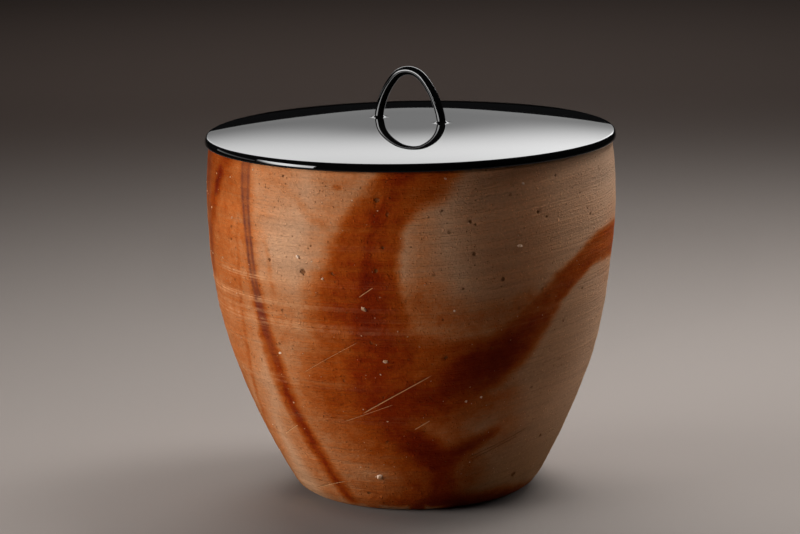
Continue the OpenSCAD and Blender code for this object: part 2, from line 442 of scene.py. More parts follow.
# Straw marks, each a row of bearing, height, half width and strength
FRONT_STREAKS = (
    # middle streak from the rim
    Streak(((4, 174, 18.5, 0.6), (2.6, 164, 14.4, 0.6), (-1.4, 155, 10.6, 0.62), (-5.2, 147, 8.8, 0.64),
            (-7.8, 138, 8.6, 0.66), (-8.8, 128, 8.6, 0.67), (-9.2, 117, 9, 0.69), (-9, 107, 11, 0.7),
            (-8.8, 98, 13.4, 0.69), (-9, 86, 17, 0.66), (-11, 70, 20, 0.62)), soft=0.42),
    Streak(((-2, 174, 12, 0.52), (-5.5, 160, 9.5, 0.54), (-11.5, 147, 9.5, 0.61), (-15, 134, 11.5, 0.64),
            (-16.5, 120, 14, 0.62), (-18, 106, 16, 0.62)), soft=0.55),
    Streak(((-3, 174, 8, 0.62), (-6, 158, 7, 0.6), (-10, 147, 6, 0.58)), soft=0.9),
    Streak(((-11.5, 120, 9, 0.66), (-11.5, 106, 11, 0.75), (-12, 96, 12, 0.75), (-12.5, 84, 13, 0.68),
            (-13.5, 66, 15, 0.66), (-10, 52, 14, 0.64)), soft=0.9),
    Streak(((-18, 123, 11, 0.4), (-20, 110, 15, 0.58), (-21, 97, 18.5, 0.62), (-20.5, 84, 15.4, 0.57),
            (-21.5, 70, 23, 0.61), (-18, 56, 26, 0.62), (-11, 44, 21, 0.6), (-3, 32, 14, 0.6),
            (3, 18, 12, 0.6), (5, 4, 14, 0.62)), soft=0.6),
    # right streak, which runs down into the middle
    Streak(((82, 119, 8.4, 0.55), (70, 120.6, 8, 0.58), (65, 120.3, 7.5, 0.6), (60, 118.8, 6.9, 0.62),
            (55, 116, 6.2, 0.63), (50, 112, 6.1, 0.64), (45, 107, 6.8, 0.62), (40, 99.6, 8.2, 0.58),
            (35, 91, 9.8, 0.58), (30, 84, 11.5, 0.66), (25, 78.2, 12.4, 0.7), (20, 73, 13, 0.72),
            (15, 69, 13, 0.74), (9, 64.5, 12.7, 0.7), (2, 60, 12, 0.66), (-6, 55, 11, 0.64)), soft=0.42),
    Streak(((38, 95, 4, 0.5), (34, 89, 6.5, 0.6), (29, 82.5, 8, 0.72), (24, 77, 8.5, 0.77),
            (18, 71.5, 8.5, 0.78), (12, 66.5, 8, 0.83), (7, 63, 6, 0.72), (1, 60, 5, 0.58)), soft=0.9),
    Streak(((-6, 83, 12, 0.62), (3, 82, 11.5, 0.6), (11, 81, 9.5, 0.57), (18, 82, 8, 0.55)), soft=0.6),
    Streak(((1, 104, 10, 0.5), (12, 98, 9, 0.4), (24, 98, 8, 0.34), (34, 103, 6, 0.36)), soft=1.0),
    Streak(((2, 152, 6, 0.14), (2, 138, 6.5, 0.2), (2, 124, 7, 0.22), (3, 112, 10, 0.34)), soft=1.0),
    # dark foot of the middle streak
    Streak(((-16, 52, 7, 0.56), (-11, 47, 7, 0.6), (-6, 42, 8, 0.7), (-1, 37, 9, 0.86), (4, 32, 9.5, 0.88),
            (9, 25, 9, 0.76), (11.5, 16, 7, 0.66), (13, 8, 8, 0.72), (17, 1, 9, 0.82)), soft=0.8),
    Streak(((8, 28, 7, 0.74), (16, 33, 5.2, 0.74), (22, 37, 4.2, 0.7), (29, 41.5, 2.6, 0.42)), soft=1.0),
    Streak(((2, 56, 12, 0.66), (10, 52, 10, 0.6), (20, 55, 8, 0.46), (28, 58, 8, 0.32)), soft=0.9),
    Streak(((24, 67, 7, 0.32), (30, 54, 9, 0.24), (31, 40, 9, 0.22)), soft=1.0),
    Streak(((12, 45, 7, 0.42), (17, 30, 8, 0.42), (20, 18, 9, 0.38)), soft=1.0),
    Streak(((-30, 3, 6, 0.42), (-15, 4, 7, 0.58), (0, 4, 8, 0.7), (12, 3, 8, 0.78), (26, 2, 7, 0.76),
            (40, 1.5, 6, 0.76), (55, 1, 5.5, 0.7), (70, 1, 5, 0.5)), soft=0.8),
    Streak(((-25, 12, 7, 0.34), (-12, 13, 9, 0.46), (-2, 14, 9, 0.55)), soft=1.0),
    # warm field between the marks
    Streak(((-42, 172, 18, 0.29), (-42, 160, 16, 0.23), (-44, 150, 13, 0.16), (-47.5, 138, 8, 0.18),
            (-48, 122, 7, 0.18)), soft=0.9),
    Streak(((-45, 118, 7, 0.15), (-44, 106, 12, 0.22), (-41, 93, 16, 0.32), (-38, 77, 18, 0.24),
            (-36, 62, 18, 0.36), (-33, 46, 15, 0.34), (-30, 28, 10, 0.28), (-27, 5, 9, 0.28)), soft=0.9),
    Streak(((-19, 170, 15, 0.32), (-21, 157, 12, 0.26), (-24, 142, 8, 0.2), (-26, 128, 7, 0.14)), soft=0.9),
    Streak(((-62, 75, 12, 0.17), (-64, 58, 10, 0.24), (-67, 42, 8, 0.28), (-70, 25, 8, 0.24)), soft=0.9),
    Streak(((-50, 40, 8, 0.28), (-46, 24, 8, 0.3), (-41, 8, 8, 0.3)), soft=1.0),
    # double line at the left, whose dark cords stand in CORDS
    Streak(((-53, 174, 8, 0.42), (-52.6, 150, 7, 0.4), (-51.4, 130, 6.4, 0.4), (-50.4, 112, 5.6, 0.44),
            (-49, 97, 5.6, 0.6), (-47.6, 80, 6, 0.57), (-46, 62, 6.4, 0.65), (-44.6, 50, 6.2, 0.67),
            (-42.2, 38, 5.6, 0.65), (-39.2, 26, 5.2, 0.6), (-35.6, 15, 4.8, 0.6), (-32.4, 5, 4.6, 0.62),
            (-31, 0, 4.6, 0.62)), soft=0.75),
    Streak(((-50.2, 108, 1.4, 0.5), (-49, 96, 3.4, 0.8), (-47.4, 80, 3, 0.54), (-45.6, 62, 3, 0.74),
            (-43.2, 44, 2.6, 0.7), (-40.6, 32, 2.2, 0.66), (-37, 19, 2, 0.64), (-33, 6, 2, 0.64)), soft=0.9),
    Streak(((-56, 138, 1.2, 0.34), (-56.6, 122, 2, 0.42), (-57.6, 106, 2.2, 0.44), (-59.4, 90, 2.2, 0.44),
            (-61.6, 75, 2.2, 0.43), (-64.8, 60, 2.6, 0.41), (-68.4, 47, 3.2, 0.39),
            (-73, 34, 3.6, 0.36)), soft=1.0),
    # left edge
    Streak(((-60, 174, 6, 0.54), (-64, 163, 6, 0.6), (-68, 153, 6.5, 0.68), (-72, 143, 7, 0.63),
            (-76, 130, 7.5, 0.56), (-80, 112, 8, 0.5)), soft=1.0),
    Streak(((-66.5, 158, 2.2, 0.68), (-68.5, 153, 3.2, 0.86), (-71, 147, 2.6, 0.7)), soft=1.0),
    Streak(((-76, 174, 36, 0.57), (-72, 155, 34, 0.53), (-70, 138, 32, 0.43), (-69, 120, 31, 0.41),
            (-68, 100, 28, 0.38), (-69, 80, 21, 0.31), (-77, 60, 11, 0.3), (-80, 40, 9, 0.3),
            (-80, 0, 9, 0.3)), soft=0.55),
    # painted shade: a faint warm darkening of the shaded right of the front
    Streak(((25, 174, 22, 0.1), (26, 140, 22, 0.1), (28, 110, 17, 0.1)), soft=0.6),
    # faint threads
    Streak(((-43, 163, 2.4, 0.2), (-31, 149, 2.6, 0.22), (-25, 141, 3, 0.26),
            (-19, 135.5, 3.4, 0.34)), soft=1.0),
    Streak(((-44.2, 133, 1.2, 0.18), (-43.2, 119, 1.9, 0.28), (-42, 103, 1.6, 0.26)), soft=1.0),
    Streak(((-21, 157.6, 1.4, 0.48), (-19.6, 157.3, 1.4, 0.48)), soft=1.0),
)
BACK_STREAKS = (
    Streak(((76, 119, 6, 0.45), (88, 115, 7, 0.55), (101, 104, 8.5, 0.7), (114, 88, 10, 0.76),
            (127, 72, 11, 0.74), (141, 60, 10, 0.66), (157, 53, 8, 0.56), (172, 51, 6, 0.45)), soft=0.45),
    Streak(((101, 104, 4, 0.8), (113, 89, 6, 0.92), (126, 73, 6.5, 0.94), (139, 61, 5, 0.82)), soft=0.9),
    Streak(((139, 170, 15, 0.6), (142, 150, 12, 0.62), (148, 130, 11, 0.62), (153, 110, 12, 0.64),
            (155, 90, 14, 0.66), (151, 70, 16, 0.66), (143, 50, 16, 0.64), (135, 28, 14, 0.62),
            (131, 4, 13, 0.62)), soft=0.35),
    Streak(((144, 150, 6, 0.8), (152, 118, 7, 0.86), (155, 90, 8, 0.88), (149, 64, 9, 0.86),
            (138, 32, 8, 0.8)), soft=0.85),
    Streak(((178, 170, 6, 0.4), (180, 140, 5.6, 0.42), (185, 110, 5.4, 0.46), (192, 80, 5.4, 0.54),
            (201, 50, 5.2, 0.6), (211, 22, 5, 0.62), (216, 2, 5, 0.62)), soft=0.7),
    Streak(((212, 172, 22, 0.45), (214, 140, 22, 0.44), (212, 105, 20, 0.4), (208, 70, 18, 0.36),
            (204, 40, 15, 0.33)), soft=0.5),
    Streak(((226, 133, 6, 0.5), (238, 126, 7.5, 0.6), (250, 114, 8.5, 0.66), (260, 98, 9, 0.64),
            (267, 80, 10, 0.58), (271, 60, 10, 0.52)), soft=0.5),
    Streak(((-96, 172, 14, 0.48), (-98, 140, 14, 0.5), (-99, 110, 13, 0.46), (-97, 80, 12, 0.42)), soft=0.6),
    Streak(((88, 2, 4, 0.6), (115, 3, 4.5, 0.7), (140, 3, 6, 0.85), (165, 2, 4, 0.6)), soft=0.7),
)

# Mauve lines that the cords themselves left, in the same form
CORDS = (
    Streak(((-54.2, 174, 1.1, 0.62), (-53.9, 158, 1.1, 0.68), (-53, 144, 1, 0.8), (-51.9, 130, 1, 0.84),
            (-51.2, 116, 1, 0.8), (-50.2, 104, 1.2, 0.7), (-49, 92, 1.4, 0.46),
            (-47, 74, 1.4, 0.24)), soft=0.9),
    Streak(((-51.3, 174, 1.2, 0.62), (-51.1, 158, 1.2, 0.68), (-50.8, 144, 1, 0.8), (-50, 130, 1, 0.84),
            (-49.5, 116, 1, 0.76), (-48.7, 104, 1.2, 0.62), (-47.6, 92, 1.4, 0.4),
            (-45.6, 74, 1.4, 0.2)), soft=0.9),
    Streak(((-52.8, 174, 3, 0.5), (-52.4, 150, 2.6, 0.44), (-51, 130, 2, 0.4),
            (-50.3, 112, 2, 0.4)), soft=0.8),
    Streak(((-80, 174, 5, 0.4), (-80, 150, 5.5, 0.5), (-79, 128, 5, 0.45), (-80, 108, 4.5, 0.35),
            (-82, 92, 4, 0.25)), soft=0.9),
    Streak(((176.6, 174, 1.1, 0.62), (178.4, 140, 1, 0.78), (183.4, 110, 1.1, 0.72), (190.4, 80, 1.3, 0.5),
            (199.6, 50, 1.4, 0.3), (206, 33, 1.4, 0.1)), soft=0.9),
    Streak(((179.6, 174, 1.1, 0.62), (181.4, 140, 1, 0.78), (186.4, 110, 1.1, 0.7), (193.2, 80, 1.3, 0.44),
            (202.2, 50, 1.4, 0.24), (208, 33, 1.4, 0.08)), soft=0.9),
)

# Pits, each a bearing, a height and a radius in mm
PITS = (
    (-37.5, 161.0, 0.7), (-31.5, 118.7, 1.5), (-42.8, 122.3, 0.8), (36.0, 143.1, 0.9), (24.9, 114.8, 1.0),
    (39.0, 140.4, 0.6), (45.6, 15.1, 1.3), (-21.8, 10.4, 0.9), (-9.5, 152.5, 1.2), (58.0, 137.0, 0.7),
    (-10.0, 121.0, 0.9), (16.5, 127.5, 0.9), (53.5, 33.0, 0.9), (-60.0, 128.0, 0.6), (9.0, 80.0, 0.9),
    (-8.0, 131.5, 0.6), (-28.5, 131.0, 0.5), (-22.5, 119.0, 0.7), (8.0, 147.5, 0.6), (13.5, 112.0, 0.6),
    (56.0, 103.0, 0.7), (43.0, 158.0, 0.6), (15.5, 142.0, 0.8), (17.0, 140.6, 0.5), (8.0, 98.0, 0.6),
    (110.0, 134.0, 1.2), (133.0, 96.0, 0.8), (168.0, 122.0, 1.3), (-150.0, 98.0, 1.0), (-118.0, 134.0, 0.8),
)


class Tone(Enum):
    """How a scratch differs from the clay round it."""

    PALE = 1.0
    DARK = -1.0


@dataclass(frozen=True)
class Scratch:
    """A straight scratch on the wall, from and to a bearing and a height in mm."""

    start: tuple[float, float]
    stop: tuple[float, float]
    width: float = 0.3
    tone: Tone = Tone.PALE

    def frame(self, mm_per_degree: float) -> tuple[np.ndarray, np.ndarray, float]:
        """Return the factors of bearing, height and 1 along and across the scratch, and half its length.

        Args:
            mm_per_degree: the wall's arc for one degree there.

        Returns:
            The factors along, the factors across and half the length in mm.
        """
        start, stop = np.array(self.start), np.array(self.stop)
        run = (stop - start) * (mm_per_degree, 1.0)
        length = float(np.hypot(*run))
        cosine, sine = run / length
        middle = (start + stop) / 2
        along = np.array([mm_per_degree * cosine, sine, 0.0])
        across = np.array([-mm_per_degree * sine, cosine, 0.0])
        along[2] = -along[:2] @ middle
        across[2] = -across[:2] @ middle
        return along, across, length / 2


SCRATCHES = (
    Scratch((-17.8, 52.3), (5.2, 72), 0.34),
    Scratch((-25.1, 47.5), (-7, 57.6), 0.16),
    Scratch((-36.2, 70.2), (-16.3, 87.6), 0.13),
    Scratch((-52.1, 8.7), (-31.3, 15.9), 0.22),
    Scratch((-0.7, 44.7), (4.6, 49.2), 0.34),
    Scratch((-57, 35), (-45.5, 42.5), 0.22),
    Scratch((-15.2, 108.7), (-11, 113.4), 0.25),
    Scratch((19.4, 28.3), (44.1, 40.2), 0.24, Tone.DARK),
    Scratch((21, 27.4), (40, 36.6), 0.2, Tone.DARK),
    Scratch((122, 44), (141, 57), 0.26),
    Scratch((-128, 62), (-112, 76), 0.26),
)


@dataclass(frozen=True)
class Bits:
    """Small marks strewn through the clay: burnt pits, or pale pimples where they are raised.

    They sit in cells, so many to a mm. A share of the cells holds one, whose size is in cells too.
    """

    per_mm: float
    share: float
    size: float
    raised: bool


@dataclass(frozen=True)
class Clay:
    """Unglazed stoneware: buff where nothing touched it, orange to dark red where straw lay on it."""

    fire_tones: tuple[tuple[float, Colour], ...] = (
        (0.0, (0.62, 0.335, 0.186)),
        (0.2, (0.57, 0.23, 0.094)),
        (0.4, (0.49, 0.132, 0.03)),
        (0.6, (0.37, 0.064, 0.005)),
        (0.8, (0.24, 0.022, 0.001)),
        (1.0, (0.15, 0.0075, 0.0004)),
    )
    worn: Colour = (0.76, 0.37, 0.17)
    cut: Colour = (0.84, 0.42, 0.19)
    cord: Colour = (0.16, 0.042, 0.026)
    speck: Colour = (0.18, 0.062, 0.02)
    # Tint of the painted shade, darker and warmer
    painted_shade_tint: Colour = (0.36, 0.29, 0.16)
    # Colour of the painted sheen on the right side
    painted_sheen: Colour = (0.66, 0.47, 0.34)
    scratches: tuple[Scratch, ...] = SCRATCHES
    strewn: tuple[Bits, ...] = (
        Bits(0.19, 0.16, 0.2, raised=False),
        Bits(0.5, 0.13, 0.24, raised=False),
        Bits(0.3, 0.2, 0.26, raised=True),
        Bits(0.75, 0.3, 0.34, raised=True),
    )
    # Cells to a mm, along the wall and up it, of the textures that follow the throwing lines
    fine_lines: tuple[float, float, float] = (0.02, 0.02, 1.1)
    broad_lines: tuple[float, float, float] = (0.008, 0.008, 0.22)
    dragged: tuple[float, float, float] = (0.4, 0.4, 1.2)
    combed: tuple[float, float, float] = (0.015, 0.015, 0.77)
    rubbed: tuple[float, float, float] = (0.006, 0.006, 1.5)
    # Painted shade and light of the relief: darkest and lightest factor of the colour, in the hollows and on
    # the crests, of the lines, the grain and the grit
    painted_relief_shades: tuple[tuple[float, float], ...] = ((0.86, 1.13), (0.94, 1.06), (0.9, 1.1))
    line_depth: float = 1.1 * MM
    comb_depth: float = 0.16 * MM
    grain_depth: float = 0.4 * MM
    grit_depth: float = 0.4 * MM
    mark_depth: float = 0.42 * MM
    # Depth of a pit against that of a scratch
    pit_share: float = 1.4
    # How far each mark hides the clay under it
    painted_sheen_cover: float = 0.5
    worn_cover: float = 0.7
    speck_cover: float = 0.6
    pit_cover: float = 0.8
    cut_cover: float = 0.8
    gloss: float = 0.08
    gloss_tint: Colour = (1.0, 0.55, 0.25)

    def material(self, mm_per_degree: ArcOf) -> bpy.types.Material:
        """Return the material.

        Args:
            mm_per_degree: function that gives the wall's arc for one degree at a height in mm.

        Returns:
            The material, which reads the values of Field from its mesh.
        """
        shader = Shader("clay")
        place = shader.place()
        split = shader.node("SeparateXYZ", {0: place}).outputs
        level = shader.field(Field.LEVEL)
        turned = shader.node("CombineXYZ", {0: split["X"], 1: split["Y"], 2: level}).outputs[0]
        lines = self.lines(shader, turned)
        grain = shader.noise(shader.stretched(turned, self.dragged), 1.0, 4.0, 0.7)
        grit = shader.noise(place, 0.85, 3.0, 0.75)
        burnt = self.burnt(shader, place, lines, grain)
        ramp = shader.node("ValToRGB", {0: burnt})
        self.fill(ramp.color_ramp)
        colour = self.wear_and_painted_light(shader, ramp.outputs[0], (place, turned), (lines, grain, grit))
        colour, relief = self.bits(shader, colour, place)
        spot = (self.bearing(shader, split["X"], split["Y"]), split["Z"])
        colour, holes = self.pitted(shader, colour, place, spot, mm_per_degree)
        colour, cuts = self.scratched(shader, colour, spot, mm_per_degree)
        combs = shader.math("MULTIPLY", self.comb(shader, turned), shader.field(Field.COMB))
        sunk = shader.math("MAXIMUM", cuts, shader.math("MULTIPLY", holes, self.pit_share))
        marks = shader.math("SUBTRACT", relief, sunk)
        normal = shader.bump(lines, self.line_depth)
        normal = shader.bump(combs, self.comb_depth, normal)
        normal = shader.bump(grain, self.grain_depth, normal)
        normal = shader.bump(grit, self.grit_depth, normal)
        normal = shader.bump(marks, self.mark_depth, normal)
        shader.set(Base_Color=colour, Roughness=shader.step(burnt, 0.2, 0.9, 0.9, 0.66), Normal=normal)
        shader.set(Specular_IOR_Level=self.gloss, Specular_Tint=self.gloss_tint)
        return shader.material

    @staticmethod
    def burnt(shader: Shader, place: Socket, lines: Socket, grain: Socket) -> Socket:
        """Return how strongly the fire coloured the clay, uneven with its texture.

        Args:
            shader: the clay's nodes.
            place: the place in mm.
            lines: the throwing lines, from 0 to 1.
            grain: the gritty surface, from 0 to 1.

        Returns:
            The strength, from 0 to 1.
        """
        fire = shader.field(Field.FIRE)
        mottle = shader.noise(place, 0.2, 6.0, 0.66)
        sways = ((mottle, 0.4), (lines, 0.4), (grain, 0.3))
        parts = [shader.math("MULTIPLY_ADD", texture, sway, -sway / 2) for texture, sway in sways]
        gate = shader.step(fire, 0.0, 0.35, 0.12, 1.0)
        return shader.math("MULTIPLY_ADD", shader.combine("ADD", parts), gate, fire)

    def fill(self, ramp: bpy.types.ColorRamp) -> None:
        """Set a ramp to the tones of the fire.

        Args:
            ramp: the ramp, new.
        """
        while len(ramp.elements) < len(self.fire_tones):
            ramp.elements.new(0.5)
        for stop, (position, tone) in zip(ramp.elements, self.fire_tones):
            stop.position = position
            stop.color = (*tone, 1.0)

    def lines(self, shader: Shader, turned: Socket) -> Socket:
        """Return the fine level lines that the potter's fingers left.

        Args:
            shader: the clay's nodes.
            turned: the place in mm, turned with the throwing lines.

        Returns:
            The lines, from 0 to 1.
        """
        sharp = shader.noise(shader.stretched(turned, self.fine_lines), 1.0, 3.0, 0.6)
        wide = shader.noise(shader.stretched(turned, self.broad_lines), 1.0, 3.0, 0.6)
        return shader.math("MULTIPLY_ADD", sharp, 0.5, shader.math("MULTIPLY", wide, 0.5))

    def comb(self, shader: Shader, turned: Socket) -> Socket:
        """Return the even ridges of a rib held against the turning wall.

        Args:
            shader: the clay's nodes.
            turned: the place in mm, turned with the throwing lines.

        Returns:
            The ridges, from 0 to 1.
        """
        stretched = shader.stretched(turned, self.combed)
        inputs = {"Vector": stretched, "Scale": 1.0, "Distortion": 1.2, "Detail": 1.0, "Detail Scale": 0.6}
        return shader.node("TexWave", inputs, bands_direction="Z", wave_profile="SIN").outputs["Fac"]

    def wear_and_painted_light(self, shader: Shader, colour: Socket, places: tuple[Socket, Socket],
             textures: Sequence[Socket]) -> Socket:
        """Return the colour with painted shade in its hollows and painted light on its crests, its raised
        lines worn pale, and painted sheen and painted shade over it.

        Args:
            shader: the clay's nodes.
            colour: the colour that the fire gave.
            places: the place in mm, and the same turned with the throwing lines.
            textures: the lines, the grain and the grit, from 0 to 1.

        Returns:
            The colour.
        """
        place, turned = places
        # Painted shade and light of the relief: the colour darker in the hollows and lighter on the crests
        painted_relief_shades = [shader.step(texture, 0.3, 0.7, *ends) for texture, ends in zip(textures, self.painted_relief_shades)]
        colour = shader.scaled(colour, shader.combine("MULTIPLY", painted_relief_shades))
        # Painted sheen: paler, greyer clay on the right side, strongest at the top
        painted_sheen_share = shader.math("MULTIPLY", shader.field(Field.PAINTED_SHEEN), self.painted_sheen_cover)
        colour = shader.mix(painted_sheen_share, colour, self.painted_sheen)
        colour = shader.mix(shader.field(Field.CORD), colour, self.cord)
        # Painted shade: darker, warmer clay right of the middle, at the foot, down the left and inside
        painted_shade_veil = shader.mix(shader.field(Field.PAINTED_SHADE), (1.0, 1.0, 1.0), self.painted_shade_tint)
        colour = shader.mix(1.0, colour, painted_shade_veil, "MULTIPLY")
        patches = shader.step(shader.noise(place, 0.3, 3.0), 0.3, 0.7, 0.2, 1.0)
        threads = shader.noise(shader.stretched(turned, self.rubbed), 1.0, 2.0)
        threads = shader.step(threads, 0.4, 0.58, 0.12, 1.0)
        scuff = shader.combine("MULTIPLY", (patches, threads, shader.field(Field.SCUFF)))
        return shader.mix(shader.math("MULTIPLY", scuff, self.worn_cover), colour, self.worn)

    def bits(self, shader: Shader, colour: Socket, place: Socket) -> tuple[Socket, Socket]:
        """Return the colour with burnt pits and pale pimples in it, and their relief.

        Args:
            shader: the clay's nodes.
            colour: the colour so far.
            place: the place in mm.

        Returns:
            The colour, and the relief from -1 to 1.
        """
        reliefs = []
        for bits in self.strewn:
            cell = shader.node("TexVoronoi", {"Vector": place, "Scale": bits.per_mm, "Randomness": 1.0})
            chosen = shader.node("SeparateColor", {0: cell.outputs["Color"]}).outputs[0]
            some = shader.step(chosen, bits.share, bits.share - 0.04)
            wobble = shader.noise(place, 2.0 * bits.per_mm + 0.9, 3.0)
            edge = shader.math("MULTIPLY_ADD", wobble, 0.4, cell.outputs["Distance"])
            mask = shader.math("MULTIPLY", some, shader.step(edge, bits.size + 0.2, bits.size + 0.02))
            if bits.raised:
                colour = shader.scaled(colour, shader.math("MULTIPLY_ADD", mask, 0.34, 1.0))
                reliefs.append(mask)
            else:
                colour = shader.mix(shader.math("MULTIPLY", mask, self.speck_cover), colour, self.speck)
                reliefs.append(shader.math("MULTIPLY", mask, -1.0))
        return colour, shader.combine("ADD", reliefs)

    @staticmethod
    def bearing(shader: Shader, x: Socket, y: Socket) -> Socket:
        """Return the bearing on the wall, from the side that faces the camera.

        Args:
            shader: the clay's nodes.
            x: the place along X.
            y: the place along Y.

        Returns:
            The bearing in degrees.
        """
        turn = math.radians(FRONT_AZIMUTH)
        right = shader.math("MULTIPLY_ADD", x, math.cos(turn), shader.math("MULTIPLY", y, math.sin(turn)))
        front = shader.math("MULTIPLY_ADD", x, math.sin(turn), shader.math("MULTIPLY", y, -math.cos(turn)))
        return shader.math("DEGREES", shader.math("ARCTAN2", right, front))

    def pitted(self, shader: Shader, colour: Socket, place: Socket, spot: tuple[Socket, Socket],
               mm_per_degree: ArcOf) -> tuple[Socket, Socket]:
        """Return the colour with the holes that burnt-out stones left, and their mask.

        Args:
            shader: the clay's nodes.
            colour: the colour so far.
            place: the place in mm.
            spot: the bearing, and the height in mm.
            mm_per_degree: function that gives the wall's arc for one degree at a height.

        Returns:
            The colour, and the mask from 0 to 1.
        """
        bearing, height = spot
        distances = []
        for turn, up, size in PITS:
            arc = float(mm_per_degree(up)) / size
            across = shader.math("MULTIPLY_ADD", bearing, arc, -turn * arc)
            rise = shader.math("MULTIPLY_ADD", height, 1.0 / size, -up / size)
            distances.append(shader.math("MULTIPLY_ADD", across, across, shader.math("MULTIPLY", rise, rise)))
        nearest = shader.combine("MINIMUM", distances)
        ragged = shader.math("MULTIPLY_ADD", shader.noise(place, 1.1, 2.0, 0.6), 2.2, nearest)
        mask = shader.step(ragged, 2.1, 1.5)
        return shader.mix(shader.math("MULTIPLY", mask, self.pit_cover), colour, self.speck), mask

    def scratched(self, shader: Shader, colour: Socket, spot: tuple[Socket, Socket],
                  mm_per_degree: ArcOf) -> tuple[Socket, Socket]:
        """Return the colour with the scratches in it, and their mask.

        Args:
            shader: the clay's nodes.
            colour: the colour so far.
            spot: the bearing, and the height in mm.
            mm_per_degree: function that gives the wall's arc for one degree at a height.

        Returns:
            The colour, and the mask from 0 to 1.
        """
        bearing, height = spot
        masks = []
        for scratch in self.scratches:
            middle = (scratch.start[1] + scratch.stop[1]) / 2
            along, across, half = scratch.frame(mm_per_degree(middle))
            fades = []
            for factors, reach, full in ((along, half, 0.8), (across, scratch.width, 0.3)):
                rise = shader.math("MULTIPLY_ADD", height, float(factors[1]), float(factors[2]))
                span = shader.math("MULTIPLY_ADD", bearing, float(factors[0]), rise)
                fades.append(shader.step(shader.math("ABSOLUTE", span), reach, full * reach))
            mask = shader.combine("MULTIPLY", fades)
            tone = self.cut if scratch.tone is Tone.PALE else self.speck
            colour = shader.mix(shader.math("MULTIPLY", mask, self.cut_cover), colour, tone)
            masks.append(mask)
        return colour, shader.combine("MAXIMUM", masks)


@dataclass(frozen=True)
class Stone:
    """Feldspar and burnt grit in the clay."""

    pale: Colour = (0.8, 0.58, 0.42)
    brown: Colour = (0.5, 0.25, 0.12)
    roughness: float = 0.6
    gloss: float = 0.3

    def material(self) -> bpy.types.Material:
        """Return the material.

        Returns:
            The material, pale and brown in patches.
        """
        shader = Shader("stone")
        patch = shader.noise(shader.place(), 0.5, 3.0)
        colour = shader.mix(shader.step(patch, 0.45, 0.6), self.brown, self.pale)
        shader.set(Base_Color=colour, Roughness=self.roughness, Specular_IOR_Level=self.gloss)
        return shader.material


def plain_material(name: str, **inputs: Value) -> bpy.types.Material:
    """Return a material with one even finish.

    Args:
        name: name of the material.
        **inputs: what goes into the Principled shader's sockets, named with _ for each space.

    Returns:
        The material.
    """
    shader = Shader(name)
    shader.set(**inputs)
    return shader.material


@dataclass(frozen=True)
class Lacquer:
    """Polished black lacquer over wood."""

    black: Colour = (0.002, 0.002, 0.002)
    roughness: float = 0.025
    ior: float = 1.44

    def material(self) -> bpy.types.Material:
        """Return the material."""
        return plain_material("black_lacquer", Base_Color=self.black, Roughness=self.roughness, IOR=self.ior)


@dataclass(frozen=True)
class BareWood:
    """Plain sawn wood of the wedges."""

    pale: Colour = (0.5, 0.36, 0.2)
    roughness: float = 0.6

    def material(self) -> bpy.types.Material:
        """Return the material."""
        return plain_material("bare_wood", Base_Color=self.pale, Roughness=self.roughness)


@dataclass(frozen=True)
class FloorPaper:
    """Plain pale paper that the jar stands on."""

    pale: Colour = (0.26, 0.229, 0.209)
    roughness: float = 0.9
    gloss: float = 0.1

    def material(self) -> bpy.types.Material:
        """Return the material."""
        inputs = {"Base_Color": self.pale, "Roughness": self.roughness, "Specular_IOR_Level": self.gloss}
        return plain_material("floor_paper", **inputs)


